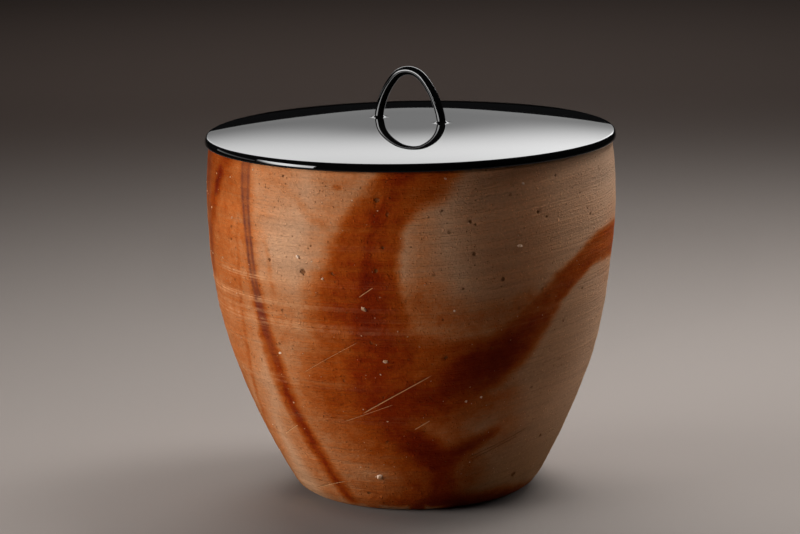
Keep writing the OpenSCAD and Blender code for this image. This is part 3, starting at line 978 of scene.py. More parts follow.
@dataclass
class Jar:
    """The thrown jar: its outline, its throwing marks and its kiln marks."""

    height: float = 165 * MM
    belly_r: float = 95 * MM
    belly_z: float = 135.5 * MM
    foot_r: float = 53 * MM
    heel_r: float = 16 * MM
    wall: float = 7.5 * MM
    floor: float = 9 * MM
    inner_heel_r: float = 22 * MM
    rim_round: float = 2.2 * MM
    columns: int = 840
    rim_points: int = 7
    outer_step: float = 0.7 * MM
    inner_step: float = 1.6 * MM
    # Rise of the rings inside the jar for one turn, in mm
    finger_pitch: float = 9.0
    # Throwing crests, each a height, how far it stands out and its half width, in mm
    crests: tuple[tuple[float, float, float], ...] = (
        (113.4, 0.18, 0.9), (103.0, 0.2, 1.0), (97.5, 0.12, 0.7), (92.6, 0.26, 1.1),
        (88.6, 0.2, 0.9), (66.0, 0.1, 0.9), (48.5, 0.12, 1.0), (131.0, 0.08, 0.8),
    )
    # Height of a crest that is worn all over, in mm
    worn_crest: float = 0.2
    # How far the throwing lines rise on the right, in mm
    climb: float = 6.0
    # Depth of a pit in mm, and how much wider than high it is
    pit_depth: float = 0.5
    pit_stretch: float = 1.25
    # The shallow flat on the right side: depth in mm, and bearing and height of its middle and its reach
    flat_depth: float = 1.3
    flat_middle: tuple[float, float] = (84.0, 103.0)
    flat_reach: tuple[float, float] = (34.0, 26.0)
    # The larger this power, the less the streaks add up where they overlap
    blend: int = 4
    heel_rounds: int = 20
    # The floor takes longer steps than the wall, by this factor
    floor_stride: float = 3.0
    least_floor_points: int = 4
    seed: int = 41
    finish: Clay = field(default_factory=Clay)

    def __post_init__(self) -> None:
        """Work out the bow of the wall, whose outline is a parabola."""
        self.bow = (self.belly_r - self.foot_r) / self.belly_z**2
        self.rim_z = self.height - self.rim_round

    def radius(self, z: np.ndarray, depth: float = 0.0) -> np.ndarray:
        """Return the wall's radius at a height, at a depth inside its outer skin."""
        slope = 2.0 * self.bow * (self.belly_z - z)
        return self.belly_r - self.bow * (z - self.belly_z) ** 2 - depth * np.sqrt(1.0 + slope**2)

    def lean(self, z: float, depth: float = 0.0) -> float:
        """Return the lean of that skin from the vertical, in radians."""
        slope = 2.0 * self.bow * (self.belly_z - z)
        return math.atan(slope * (1.0 + 2.0 * self.bow * depth / math.sqrt(1.0 + slope**2)))

    def side(self, floor: float, depth: float, heel_r: float, step: float) -> np.ndarray:
        """Return one side of the outline, from the middle of its floor up to the rim.

        Args:
            floor: height of that side's floor.
            depth: depth of the side inside the outer skin.
            heel_r: radius of the rounding between floor and wall.
            step: distance between points.

        Returns:
            Points of radius and height, n by 2.
        """
        # The wall's lean sets where the heel ends and depends on it, so both are found in rounds
        start = 0.0
        for _ in range(self.heel_rounds):
            start = floor + heel_r * (1.0 - math.sin(self.lean(start, depth)))
        lean = self.lean(start, depth)
        centre_r = self.radius(start, depth) - heel_r * math.cos(lean)
        floor_points = max(self.least_floor_points, int(centre_r / (self.floor_stride * step)))
        flat = np.linspace(0.0, centre_r, floor_points, endpoint=False)[1:]
        turn = np.linspace(-math.pi / 2, -lean, int(heel_r * (math.pi / 2 - lean) / step), endpoint=False)
        wall = np.linspace(start, self.rim_z, int((self.rim_z - start) / step), endpoint=False)
        return np.concatenate([
            np.stack([flat, np.full_like(flat, floor)], -1),
            np.stack([centre_r + heel_r * np.cos(turn), floor + heel_r * (1.0 + np.sin(turn))], -1),
            np.stack([self.radius(wall, depth), wall], -1),
        ])

    def outline(self) -> np.ndarray:
        """Return the whole outline, from the middle of the base over the rim to the middle inside.

        Returns:
            Points of radius and height, n by 2.
        """
        outer = self.side(0.0, 0.0, self.heel_r, self.outer_step)
        inner = self.side(self.floor, self.wall, self.inner_heel_r, self.inner_step)
        quarter = np.linspace(0.0, math.pi / 2, self.rim_points)
        outer_rim = self.radius(self.rim_z) - self.rim_round
        inner_rim = self.radius(self.rim_z, self.wall) + self.rim_round
        lift = self.rim_z + self.rim_round * np.sin(quarter)
        return np.concatenate([
            outer,
            np.stack([outer_rim + self.rim_round * np.cos(quarter), lift], -1),
            np.stack([inner_rim - self.rim_round * np.cos(quarter), lift], -1)[::-1],
            inner[::-1],
        ])

    def mm_per_degree(self, height: np.ndarray) -> np.ndarray:
        """Return the wall's arc for one degree at a height, both in mm."""
        return np.radians(self.radius(height * MM) / MM)

    def level(self, bearing: np.ndarray, height: np.ndarray) -> np.ndarray:
        """Return the height less the climb of the throwing lines, which rise on the right, in mm."""
        return height - self.climb * between(0.0, 60.0, 100.0, 180.0, bearing)

    def fire(self, bearing: np.ndarray, height: np.ndarray) -> np.ndarray:
        """Return how strongly the straw flashed the clay, from 0 to 1.

        Args:
            bearing: bearings in degrees.
            height: heights in mm.

        Returns:
            Values from 0 to 1.
        """
        noise = WallNoise(self.seed)
        arc = self.mm_per_degree(height)
        level = self.level(bearing, height)
        drift = noise.fractal(bearing, height, 40, 9.0, 4)
        sag = noise.fractal(bearing, height, 36, 12.0, 4)
        pulled = noise.fractal(bearing, level, 16, 2.2, 2)
        x, y = bearing + (0.7 * drift + 0.55 * pulled) / arc, height + 0.8 * sag
        total = np.zeros_like(bearing)
        glow = [streak.halo(wider=2.3, share=0.5, soft=0.95) for streak in BACK_STREAKS]
        for streak in (*FRONT_STREAKS, *BACK_STREAKS, *glow):
            total += streak.flash(x, y, arc) ** self.blend
        patches = 0.045 * noise.fractal(bearing, height, 26, 13.0, 4)
        patches += 0.035 * noise.fractal(bearing, level, 9, 3.0, 3)
        fire = total ** (1.0 / self.blend) * (1.0 + patches) + 0.35 * patches
        edge = between(-46.0, -24.0, 8.0, 20.0, bearing)
        edge *= fall(2.4, 5.0, height + drift)
        bare = edge * smoothstep(-0.25, 0.3, noise.layer(bearing, height, 48, 30.0))
        return np.clip(fire * (1.0 - 0.85 * bare), 0.0, 1.0)

    def painted_shade(self, bearing: np.ndarray, height: np.ndarray) -> np.ndarray:
        """Return the painted shade that darkens the clay: right of the middle, at the foot and down the left.

        Args:
            bearing: bearings in degrees.
            height: heights in mm.

        Returns:
            Values from 0 to 1.
        """
        right = between(4.0, 24.0, 42.0, 80.0, bearing)
        right *= np.maximum(0.68 * fall(2.0, 112.0, height), 0.36 * fall(84.0, 150.0, height))
        under = between(4.0, 24.0, 96.0, 130.0, bearing)
        right = np.maximum(right, 0.82 * under * fall(2.0, 80.0, height))
        under_left = fall(-34.0, -14.0, bearing) * 0.2 * fall(106.0, 128.0, height)
        rise = 0.1 + 0.52 * smoothstep(96.0, 138.0, height) - 0.12 * smoothstep(146.0, 156.0, height)
        shoulder = fall(-84.0, -58.0, bearing) * rise
        brow = fall(-62.0, -50.0, bearing) * 0.28 * smoothstep(143.0, 156.0, height)
        turn = fall(-80.0, -64.0, bearing) * 0.36 * fall(30.0, 95.0, height)
        heel = fall(-30.0, 5.0, bearing) * 0.22 * fall(4.0, 36.0, height)
        middle = between(-34.0, -14.0, 4.0, 20.0, bearing)
        heel += 0.25 * middle * fall(4.0, 60.0, height)
        left = smoothstep(-150.0, -100.0, bearing) * (under_left + shoulder + brow + turn + heel)
        return np.clip(np.maximum(left, right), 0.0, 1.0)

    def cords(self, bearing: np.ndarray, height: np.ndarray) -> np.ndarray:
        """Return how dark the lines of the cords themselves are, from 0 to 1.

        Args:
            bearing: bearings in degrees.
            height: heights in mm.

        Returns:
            Values from 0 to 1.
        """
        noise = WallNoise(self.seed + 4)
        arc = self.mm_per_degree(height)
        x = bearing + 0.25 * noise.fractal(bearing, height, 40, 12.0, 3) / arc
        dark = np.max([cord.flash(x, height, arc) for cord in CORDS], axis=0)
        return dark * (1.0 + 0.25 * noise.fractal(bearing, self.level(bearing, height), 9, 2.4, 2))

    def inner_rings(self, bearing: np.ndarray, height: np.ndarray) -> np.ndarray:
        """Return how far the rings that the fingers left inside stand out, in mm.

        Args:
            bearing: bearings in degrees.
            height: heights in mm.

        Returns:
            Lengths in mm.
        """
        noise = WallNoise(self.seed + 5)
        turns = height / self.finger_pitch + bearing / 360.0
        ring = np.sin(2.0 * math.pi * turns + 0.9 * noise.fractal(bearing, height, 8, 30.0, 3))
        wall = between(16.0, 34.0, 148.0, 158.0, height)
        return wall * (0.32 * ring + 0.1 * noise.fractal(bearing, height, 5, 4.0, 2))

    def painted_sheen(self, bearing: np.ndarray, height: np.ndarray) -> np.ndarray:
        """Return the painted sheen that pales the clay of the right side, strongest at the top, from 0 to 1.
        """
        side = between(36.0, 72.0, 110.0, 150.0, bearing)
        return side * (0.65 + 0.35 * smoothstep(135.0, 155.0, height))

    def pits(self, bearing: np.ndarray, height: np.ndarray) -> np.ndarray:
        """Return the holes that burnt-out stones left, from 0 to 1.

        Args:
            bearing: bearings in degrees.
            height: heights in mm.

        Returns:
            Values from 0 to 1.
        """
        arc = self.mm_per_degree(height)
        ragged = 1.0 + 0.3 * WallNoise(self.seed + 3).fractal(bearing, height, 260, 2.4, 2)
        total = np.zeros_like(bearing)
        for spot, up, size in PITS:
            away = ragged * np.hypot((bearing - spot) * arc / self.pit_stretch, height - up) / size
            total = np.maximum(total, np.exp(-(away**4)))
        return total

    def ridges(self, bearing: np.ndarray, height: np.ndarray) -> tuple[np.ndarray, np.ndarray]:
        """Return how far the throwing lines stand out, in mm, and how worn their crests are.

        Args:
            bearing: bearings in degrees.
            height: heights in mm.

        Returns:
            Lengths in mm, and values from 0 to 1.
        """
        noise = WallNoise(self.seed + 1)
        level = self.level(bearing, height)
        rise = 0.11 * noise.fractal(bearing, level, 5, 7.0, 3)
        rise += 0.05 * noise.fractal(bearing, level, 5, 2.6, 2)
        worn = np.zeros_like(bearing)
        for crest, tall, wide in self.crests:
            bend = 0.5 * noise.layer(bearing, level, 12, 40.0)
            shape = np.exp(-(((level - crest - bend) / wide) ** 2))
            rubbed = np.exp(-(((level - crest - bend) / (1.9 * wide)) ** 2))
            share = smoothstep(-0.7, 0.5, noise.layer(bearing, level, 14, 60.0))
            share *= 1.0 - 0.8 * between(-44.0, -14.0, 130.0, 170.0, bearing)
            rise += tall * shape * share
            worn = np.maximum(worn, rubbed * share * tall / self.worn_crest)
        return rise, np.clip(worn, 0.0, 1.0)

    def swell(self, bearing: np.ndarray, height: np.ndarray) -> np.ndarray:
        """Return how far the wall stands off its true outline, in mm.

        Args:
            bearing: bearings in degrees.
            height: heights in mm.

        Returns:
            Lengths in mm.
        """
        noise = WallNoise(self.seed + 2)
        body = between(6.0, 22.0, 140.0, 158.0, height)
        foot = between(0.3, 3.0, 8.0, 20.0, height)
        lumps = 0.32 * noise.fractal(bearing, height, 6, 45.0, 3)
        chips = 0.28 * noise.fractal(bearing, height, 60, 8.0, 3)
        across = (bearing - self.flat_middle[0]) / self.flat_reach[0]
        up = (height - self.flat_middle[1]) / self.flat_reach[1]
        flat = self.flat_depth * np.exp(-(across**2) - up**2)
        return body * lumps + foot * chips - flat

    def fields(self, bearing: np.ndarray, height: np.ndarray, reach: np.ndarray,
               outside: np.ndarray) -> dict[Field, np.ndarray]:
        """Return the kiln marks, the painted shade and the painted sheen that the mesh carries for its
        finish.

        Args:
            bearing: bearings in degrees.
            height: heights in mm.
            reach: distances from the jar's axis.
            outside: 1 on the outside and the rim, 0 inside.

        Returns:
            The values by their names.
        """
        level = self.level(bearing, height)
        comb = between(-5.0, 25.0, 80.0, 120.0, bearing) * between(136.0, 147.0, 156.0, 161.0, level)
        # The middle of the base and the inside saw little of the fire
        dry = np.where(height < 0.6, smoothstep(20.0, 42.0, reach / MM), 1.0)
        inside = 0.24 + 0.06 * WallNoise(self.seed + 6).fractal(bearing, height, 10, 14.0, 4)
        inside += 0.16 * self.inner_rings(bearing, height)
        fire = np.where(outside > 0, inside + dry * (self.fire(bearing, height) - inside), inside)
        return {
            Field.FIRE: fire,
            Field.LEVEL: level,
            Field.COMB: outside * comb,
            # painted shade, with an even share of it inside the jar
            Field.PAINTED_SHADE: np.where(outside > 0, dry * self.painted_shade(bearing, height), 0.12),
            Field.CORD: outside * self.cords(bearing, height),
            # painted sheen, only on the pale clay of the right side
            Field.PAINTED_SHEEN: outside * self.painted_sheen(bearing, height) * fall(0.12, 0.4, fire),
        }

    def build(self) -> bpy.types.Object:
        """Return the dressed jar, riding on its body in place of the CAD node.

        Returns:
            The jar.
        """
        outline = self.outline()
        bearing = np.linspace(-180.0, 180.0, self.columns, endpoint=False)
        polar = polar_of(bearing)
        bearings = np.repeat(bearing[None, :], len(outline), axis=0)
        heights = np.repeat(outline[:, 1:] / MM, self.columns, axis=1)
        crown = int(np.argmax(outline[:, 1]))
        outside = np.zeros_like(heights)
        outside[:crown + self.rim_points] = 1.0
        rise, worn = self.ridges(bearings, heights)
        wall = between(3.0, 14.0, 158.0, 162.0, heights)
        pits = self.pits(bearings, heights)
        off = outside * (wall * (rise - self.pit_depth * pits) + self.swell(bearings, heights)) * MM
        off += (1.0 - outside) * self.inner_rings(bearings, heights) * MM
        radius = outline[:, :1] + off
        rings = np.stack([radius * np.cos(polar), radius * np.sin(polar), heights * MM], -1)
        poles = (Vector((0.0, 0.0, 0.0)), Vector((0.0, 0.0, self.floor)))
        piece = linked_object("jar", lathe("jar", rings, poles))
        fields = self.fields(bearings, heights, radius, outside)
        fields[Field.SCUFF] = outside * wall * worn
        for name, values in fields.items():
            middle = values[[0, -1]].mean(axis=1)
            layer = piece.data.attributes.new(name.value, "FLOAT", "POINT")
            layer.data.foreach_set("value", np.concatenate([values.ravel(), middle]).astype(np.float32))
        self.unwrap(piece.data, outline)
        piece.data.materials.append(self.finish.material(self.mm_per_degree))
        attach(piece, "jar")
        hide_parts("jar_body")
        return piece

    def unwrap(self, mesh: bpy.types.Mesh, outline: np.ndarray) -> None:
        """Unroll the skin for baking: round the jar in one direction, along the outline in the other.

        Args:
            mesh: the jar's skin, ring after ring, with its two poles last.
            outline: the outline that the rings follow.
        """
        steps = np.hypot(*np.diff(outline, axis=0).T)
        along = np.concatenate([[0.0], np.cumsum(steps)]) + outline[0, 0]
        along /= along[-1] + outline[-1, 0]
        around = np.arange(self.columns) / self.columns
        v = np.concatenate([np.repeat(along, self.columns), [0.0, 1.0]])
        u = np.concatenate([np.tile(around, len(outline)), [np.nan, np.nan]])
        corners = np.empty(len(mesh.loops), np.int32)
        mesh.loops.foreach_get("vertex_index", corners)
        starts = np.empty(len(mesh.polygons), np.int32)
        mesh.polygons.foreach_get("loop_start", starts)
        sizes = np.diff(np.append(starts, len(corners)))
        across = u[corners]
        widest = np.repeat(np.fmax.reduceat(across, starts), sizes)
        across = np.where(widest - across > 0.5, across + 1.0, across)
        middle = np.repeat(np.fmax.reduceat(across, starts), sizes) - 0.5 / self.columns
        across = np.where(np.isnan(across), middle, across)
        layer = mesh.uv_layers.new(name=BAKE_MAP)
        layer.data.foreach_set("uv", np.stack([across, v[corners]], -1).astype(np.float32).ravel())


@dataclass
class Grains:
    """Pale stones in the clay that stand out of the jar's wall."""

    jar: Jar
    count: int = 460
    seed: int = 7
    # Least and greatest radius of the loose stones and heights between which they lie, in mm
    sizes: tuple[float, float] = (0.24, 0.62)
    heights: tuple[float, float] = (12.0, 158.0)
    # The larger this power, the fewer stones are large
    rarity: float = 2.5
    lumpiness: float = 0.17
    waviness: float = 4.0
    flattest: float = 0.6
    most_tilt: float = 0.6
    # Depth of a stone's middle under the wall, in radii
    sunk: float = 0.12
    finishes: tuple[Stone, Stone] = (Stone(), Stone(pale=(0.68, 0.42, 0.25), brown=(0.4, 0.18, 0.085)))
    # The stones that stand out most, each a bearing, a height and a radius in mm
    seen: tuple[tuple[float, float, float], ...] = (
        (-13.8, 103.4, 1.7), (-8.7, 79.0, 1.4), (-15.0, 20.2, 1.5), (-43.8, 78.4, 1.2), (21.0, 59.3, 0.9),
        (16.1, 58.0, 0.8), (-49.2, 162.0, 0.7), (-25.4, 116.3, 0.8), (9.0, 161.5, 0.7), (31.5, 156.4, 0.9),
        (-32.8, 125.5, 1.4), (30.0, 129.0, 1.3), (11.0, 102.0, 0.7), (-67.0, 117.5, 0.8), (60.5, 130.0, 0.7),
    )

    def spots(self) -> np.ndarray:
        """Return bearing, height in mm and radius in mm of every stone.

        Returns:
            The stones, n by 3, with those that stand out most first.
        """
        random = np.random.default_rng(self.seed)
        low, high = self.sizes
        size = low + (high - low) * random.random(self.count) ** self.rarity
        turn = random.uniform(-180.0, 180.0, self.count)
        up = random.uniform(*self.heights, self.count)
        return np.concatenate([np.array(self.seen), np.stack([turn, up, size], -1)])

    def lump(self, ball: np.ndarray, random: np.random.Generator) -> np.ndarray:
        """Return a ball pushed in and out and flattened into a stone.

        Args:
            ball: points of a ball of radius 1, n by 3.
            random: the seeded numbers.

        Returns:
            The points, outwards along X.
        """
        waves = random.uniform(-self.waviness, self.waviness, (3, 3))
        phases = random.uniform(0.0, 6.0, 3)
        lumps = 1.0 + self.lumpiness * np.sin(ball @ waves + phases).sum(1)
        stretch = (self.flattest, 1.0, random.uniform(self.flattest, 1.0))
        return ball * lumps[:, None] * stretch

    def build(self) -> bpy.types.Object:
        """Return all stones as one piece that rides on the jar.

        Returns:
            The piece.
        """
        ball = bmesh.new()
        bmesh.ops.create_icosphere(ball, subdivisions=1, radius=1.0)
        shape = np.array([vertex.co for vertex in ball.verts])
        corners = np.array([[vertex.index for vertex in face.verts] for face in ball.faces])
        ball.free()
        random = np.random.default_rng(self.seed + 1)
        points, faces = [], []
        spots = self.spots()
        turns, heights = spots[:, 0], spots[:, 1]
        off = self.jar.ridges(turns, heights)[0] + self.jar.swell(turns, heights)
        reaches = self.jar.radius(heights * MM) + off * MM
        for (bearing, height, size), reach in zip(spots, reaches):
            stone = self.lump(shape, random) * size * MM
            polar = float(polar_of(bearing))
            out = np.array([math.cos(polar), math.sin(polar), 0.0])
            side = np.array([-math.sin(polar), math.cos(polar), 0.0])
            tilt = random.uniform(-self.most_tilt, self.most_tilt)
            up = np.array([0.0, 0.0, 1.0])
            along = side * math.cos(tilt) + up * math.sin(tilt)
            across = up * math.cos(tilt) - side * math.sin(tilt)
            middle = out * (reach - self.sunk * size * MM) + up * height * MM
            faces.append(corners + len(points) * len(shape))
            points.append(middle + stone @ np.stack([out, along, across]))
        quads = np.concatenate(faces)
        quads = np.concatenate([quads, np.full((len(quads), 1), -1)], axis=1)
        piece = linked_object("stones", mesh_from_arrays("stones", np.concatenate(points), quads))
        for finish in self.finishes:
            piece.data.materials.append(finish.material())
        kinds = np.repeat(np.arange(len(points)) >= len(self.seen), len(corners)).astype(np.int32)
        piece.data.polygons.foreach_set("material_index", kinds)
        piece.data.polygons.foreach_set("use_smooth", np.zeros(len(quads), bool))
        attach(piece, "jar")
        return piece


@dataclass
class Handle:
    """The bent arch on the lid, with the lacquer that gathers round its feet."""

    lid_top: float
    arch_h: float = 25 * MM
    foot_span: float = 35.8 * MM
    crown_r: float = 11.5 * MM
    crown_half_angle: float = 45.0
    bar_w: float = 4 * MM
    bar_d: float = 4.1 * MM
    bar_round: float = 1.9 * MM
    fillet_w: float = 2.6 * MM
    fillet_h: float = 1.1 * MM
    # How far the legs of the arch and the fillets reach into what they stand on and lean against
    sunk: float = 1 * MM
    fillet_bite: float = 0.3 * MM
    # The larger this power, the hollower the fillet
    fillet_hollow: float = 2.4
    crown_steps: int = 24
    leg_steps: int = 40
    fillet_rings: int = 16
    fillet_corner_points: int = 8

    def __post_init__(self) -> None:
        """Work out the arcs of the arch."""
        self.half = math.radians(self.crown_half_angle)
        self.crown_z = self.lid_top + self.arch_h - self.bar_w / 2 - self.crown_r
        normal = np.array([math.sin(self.half), math.cos(self.half)])
        end = np.array([0.0, self.crown_z]) + self.crown_r * normal
        chord = np.array([self.foot_span / 2, self.lid_top]) - end
        self.leg_r = -(chord @ chord) / (2 * chord @ normal)
        self.leg_centre = end - self.leg_r * normal
        foot = np.array([self.foot_span / 2, self.lid_top]) - self.leg_centre
        self.foot_angle = math.atan2(*foot)

    def section(self, grow: float = 0.0, corner_points: int = 10) -> np.ndarray:
        """Return the bar's rounded section, grown outwards, as points in and across the arch's plane.

        Args:
            grow: how far outwards.
            corner_points: points on each rounded corner.

        Returns:
            Points, n by 2.
        """
        half_w, half_d = self.bar_w / 2 - self.bar_round, self.bar_d / 2 - self.bar_round
        turn = np.linspace(0.0, math.pi / 2, corner_points)
        reach = self.bar_round + grow
        corners = []
        for quarter, (side, front) in enumerate(((1, 1), (-1, 1), (-1, -1), (1, -1))):
            angle = turn + quarter * math.pi / 2
            x = side * half_w + reach * np.cos(angle)
            y = front * half_d + reach * np.sin(angle)
            corners.append(np.stack([x, y], -1))
        return np.concatenate(corners)

    def build_arch(self) -> bpy.types.Mesh:
        """Return the arch, swept along its three arcs.

        Returns:
            The mesh.
        """
        spare = self.sunk / self.leg_r
        right = np.concatenate([
            np.linspace(0.0, self.half, self.crown_steps, endpoint=False),
            np.linspace(self.half, self.foot_angle + spare, self.leg_steps),
        ])
        angle = np.concatenate([-right[:0:-1], right])
        centre = np.zeros((len(angle), 2))
        reach = np.where(np.abs(angle) < self.half, self.crown_r, self.leg_r)
        on_leg = np.abs(angle) >= self.half
        centre[:, 0] = np.where(on_leg, np.sign(angle) * self.leg_centre[0], 0.0)
        centre[:, 1] = np.where(on_leg, self.leg_centre[1], self.crown_z)
        section = self.section()
        out = reach[:, None] + section[None, :, 0]
        x = centre[:, :1] + out * np.sin(angle)[:, None]
        z = centre[:, 1:] + out * np.cos(angle)[:, None]
        y = np.repeat(section[None, :, 1], len(angle), axis=0)
        rings = np.stack([x, y, z], -1)
        ends = (Vector(rings[0].mean(axis=0)), Vector(rings[-1].mean(axis=0)))
        return lathe("handle", rings, ends)

    def build_fillet(self, side: int) -> bpy.types.Mesh:
        """Return the lacquer round one foot, thick at the bar and thin at its rim.

        Args:
            side: -1 for the left foot, 1 for the right.

        Returns:
            The mesh.
        """
        foot = side * self.foot_span / 2
        rings = []
        for t in np.linspace(0.0, 1.0, self.fillet_rings):
            grow = t * (self.fillet_w + self.fillet_bite) - self.fillet_bite
            shape = self.section(grow, self.fillet_corner_points)
            lift = self.lid_top + self.fillet_h * (1.0 - t) ** self.fillet_hollow
            rings.append(np.column_stack([foot + shape[:, 0], shape[:, 1], np.full(len(shape), lift)]))
        under = rings[-1] - (0.0, 0.0, self.fillet_bite)
        rings = np.array([*rings, under])[::-1]
        middle = Vector((foot, 0.0, self.lid_top - self.fillet_bite))
        top = Vector((foot, 0.0, self.lid_top + self.fillet_h))
        return lathe(f"fillet_{side}", rings, (middle, top))

    def build(self, lacquer: bpy.types.Material) -> list[bpy.types.Object]:
        """Return the arch and its two fillets.

        Args:
            lacquer: the material of all three.

        Returns:
            The pieces, the arch first.
        """
        pieces = [linked_object("handle", self.build_arch())]
        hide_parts("handle_arch")
        for side, word in ((-1, "left"), (1, "right")):
            piece = linked_object(f"{word}_fillet", self.build_fillet(side))
            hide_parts(f"{word}_foot_fillet")
            pieces.append(piece)
        for piece in pieces:
            piece.data.materials.append(lacquer)
            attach(piece, "lid")
        return pieces


@dataclass
class Lid:
    """The turned lid with its locating ring, handle and joints."""

    edge_thickness: float = 3.6 * MM
    edge_round: float = 1.0 * MM
    foot_round: float = 0.45 * MM
    edge_tilts: tuple[float, float] = (math.radians(-1.0), math.radians(28.0))
    rise: float = 5 * MM
    power: float = 2.25
    seat_r: float = 22.75 * MM
    # Film of lacquer under the board, inside the rim that it sits on
    film: float = 0.05 * MM
    film_r: float = 77 * MM
    columns: int = 360
    under_points: int = 40
    round_points: int = 9
    dome_points: int = 160
    finish: Lacquer = field(default_factory=Lacquer)

    def __post_init__(self) -> None:
        """Take the lid's place and reach from the frame."""
        low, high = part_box("lid_board")
        self.under = low.z
        self.radius = (high.y - low.y) / 2
        self.top = high.z

    def outline(self) -> np.ndarray:
        """Return the outline, from the middle of the underside round the edge to the middle on top.

        Returns:
            Points of radius and height, n by 2.
        """
        edge_lean = math.atan(self.power * self.rise / (self.radius - self.seat_r))
        edge_top = self.under + self.edge_thickness
        foot = np.array([self.radius - self.foot_round, self.under + self.foot_round])
        low, high = self.edge_tilts
        brow_z = edge_top - self.edge_round * math.cos(edge_lean)
        rise = brow_z + self.edge_round * math.sin(high) - foot[1] - self.foot_round * math.sin(low)
        side_round = rise / (math.sin(high) - math.sin(low))
        side = foot + (self.foot_round - side_round) * np.array([math.cos(low), math.sin(low)])
        brow = side + (side_round - self.edge_round) * np.array([math.cos(high), math.sin(high)])
        dome_r = brow[0] + self.edge_round * math.sin(edge_lean)
        below = np.linspace(0.0, foot[0], self.under_points, endpoint=False)[1:]
        below_z = np.where(below < self.film_r, self.under - self.film, self.under)
        lower = np.linspace(-math.pi / 2, low, self.round_points)
        bulge = np.linspace(low, high, self.round_points)[1:-1]
        upper = np.linspace(high, math.pi / 2 - edge_lean, self.round_points)
        dome = np.linspace(dome_r, 0.0, self.dome_points, endpoint=False)[1:]
        past_seat = np.clip((dome - self.seat_r) / (dome_r - self.seat_r), 0.0, 1.0)
        return np.concatenate([
            np.stack([below, below_z], -1),
            foot + self.foot_round * np.stack([np.cos(lower), np.sin(lower)], -1),
            side + side_round * np.stack([np.cos(bulge), np.sin(bulge)], -1),
            brow + self.edge_round * np.stack([np.cos(upper), np.sin(upper)], -1),
            np.stack([dome, self.top - self.rise * past_seat**self.power], -1),
        ])

    def build(self) -> list[bpy.types.Object]:
        """Return the dressed pieces of the lid.

        Returns:
            The lid, the handle's arch and its fillets.
        """
        outline = self.outline()
        polar = np.radians(np.linspace(-180.0, 180.0, self.columns, endpoint=False))
        radius = np.repeat(outline[:, :1], self.columns, axis=1)
        height = np.repeat(outline[:, 1:], self.columns, axis=1)
        rings = np.stack([radius * np.cos(polar), radius * np.sin(polar), height], -1)
        poles = (Vector((0.0, 0.0, self.under - self.film)), Vector((0.0, 0.0, self.top)))
        board = linked_object("lid", lathe("lid", rings, poles))
        lacquer = self.finish.material()
        board.data.materials.append(lacquer)
        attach(board, "lid")
        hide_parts("lid_board")
        self.dress(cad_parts["locating_ring"], lacquer)
        wood = BareWood().material()
        for node in ("left_tenon_wedge", "right_tenon_wedge"):
            self.dress(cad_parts[node], wood)
        return [board, *Handle(self.top).build(lacquer)]

    @staticmethod
    def dress(piece: bpy.types.Object, material: bpy.types.Material) -> None:
        """Give a CAD node one material."""
        piece.data.materials.clear()
        piece.data.materials.append(material)


class Role(Enum):
    """What a lamp does: only light matt surfaces, or only show in glossy ones."""

    LIGHT = "light"
    MIRRORED = "mirrored"


@dataclass(frozen=True)
class Grading:
    """How a softbox grows brighter from its foot to its top.

    The light grows from foot_share to all of it between two heights, in shares of the softbox. Away from
    the middle both heights sink by bend, and the light falls by tilt from one side to the other.
    """

    foot_share: float
    heights: tuple[float, float]
    middle: float = 0.56
    bend: float = 2.4
    tilt: float = 0.5

    def apply(self, data: bpy.types.AreaLight) -> None:
        """Grade a lamp.

        Args:
            data: the lamp's data.
        """
        data.use_nodes = True
        nodes = Nodes(data.node_tree)
        spot = nodes.node("NewGeometry").outputs["Parametric"]
        split = nodes.node("SeparateXYZ", {0: spot}).outputs
        off = nodes.math("SUBTRACT", split["X"], self.middle)
        lift = nodes.math("MULTIPLY_ADD", nodes.math("MULTIPLY", off, off), self.bend, split["Y"])
        growth = nodes.step(lift, *self.heights, self.foot_share)
        tilt = nodes.math("MULTIPLY_ADD", split["X"], -self.tilt, 1.0 + 0.5 * self.tilt)
        strength = data.node_tree.nodes["Emission"].inputs["Strength"]
        nodes.feed(strength, nodes.math("MULTIPLY", growth, tilt))


@dataclass(frozen=True)
class Softbox:
    """A soft lamp that faces a point on its own bearing, at aim_r from the jar's axis and at aim_z."""

    name: str
    bearing: float
    distance: float
    height: float
    size: tuple[float, float]
    radiance: float
    aim_z: float = 0.1
    aim_r: float = 0.0
    spread: float = 180.0
    role: Role = Role.LIGHT
    colour: Colour = (1.0, 1.0, 1.0)
    grading: Grading | None = None

    def build(self) -> bpy.types.Object:
        """Return the lamp, out of the camera's sight.

        Returns:
            The lamp, seen only by the surfaces that its role names.
        """
        data = bpy.data.lights.new(self.name, "AREA")
        data.shape = "RECTANGLE"
        data.size, data.size_y = self.size
        data.energy = self.radiance * math.pi * self.size[0] * self.size[1]
        data.color = self.colour
        data.spread = math.radians(self.spread)
        if self.grading is not None:
            self.grading.apply(data)
        lamp = bpy.data.objects.new(self.name, data)
        bpy.context.scene.collection.objects.link(lamp)
        polar = float(polar_of(self.bearing))
        out = Vector((math.cos(polar), math.sin(polar), 0.0))
        place = self.distance * out + Vector((0.0, 0.0, self.height))
        lamp.location = place
        aim = self.aim_r * out + Vector((0.0, 0.0, self.aim_z)) - place
        lamp.rotation_euler = aim.to_track_quat("-Z", "Y").to_euler()
        lamp.visible_camera = False
        lamp.visible_diffuse = self.role is Role.LIGHT
        lamp.visible_glossy = self.role is Role.MIRRORED
        return lamp


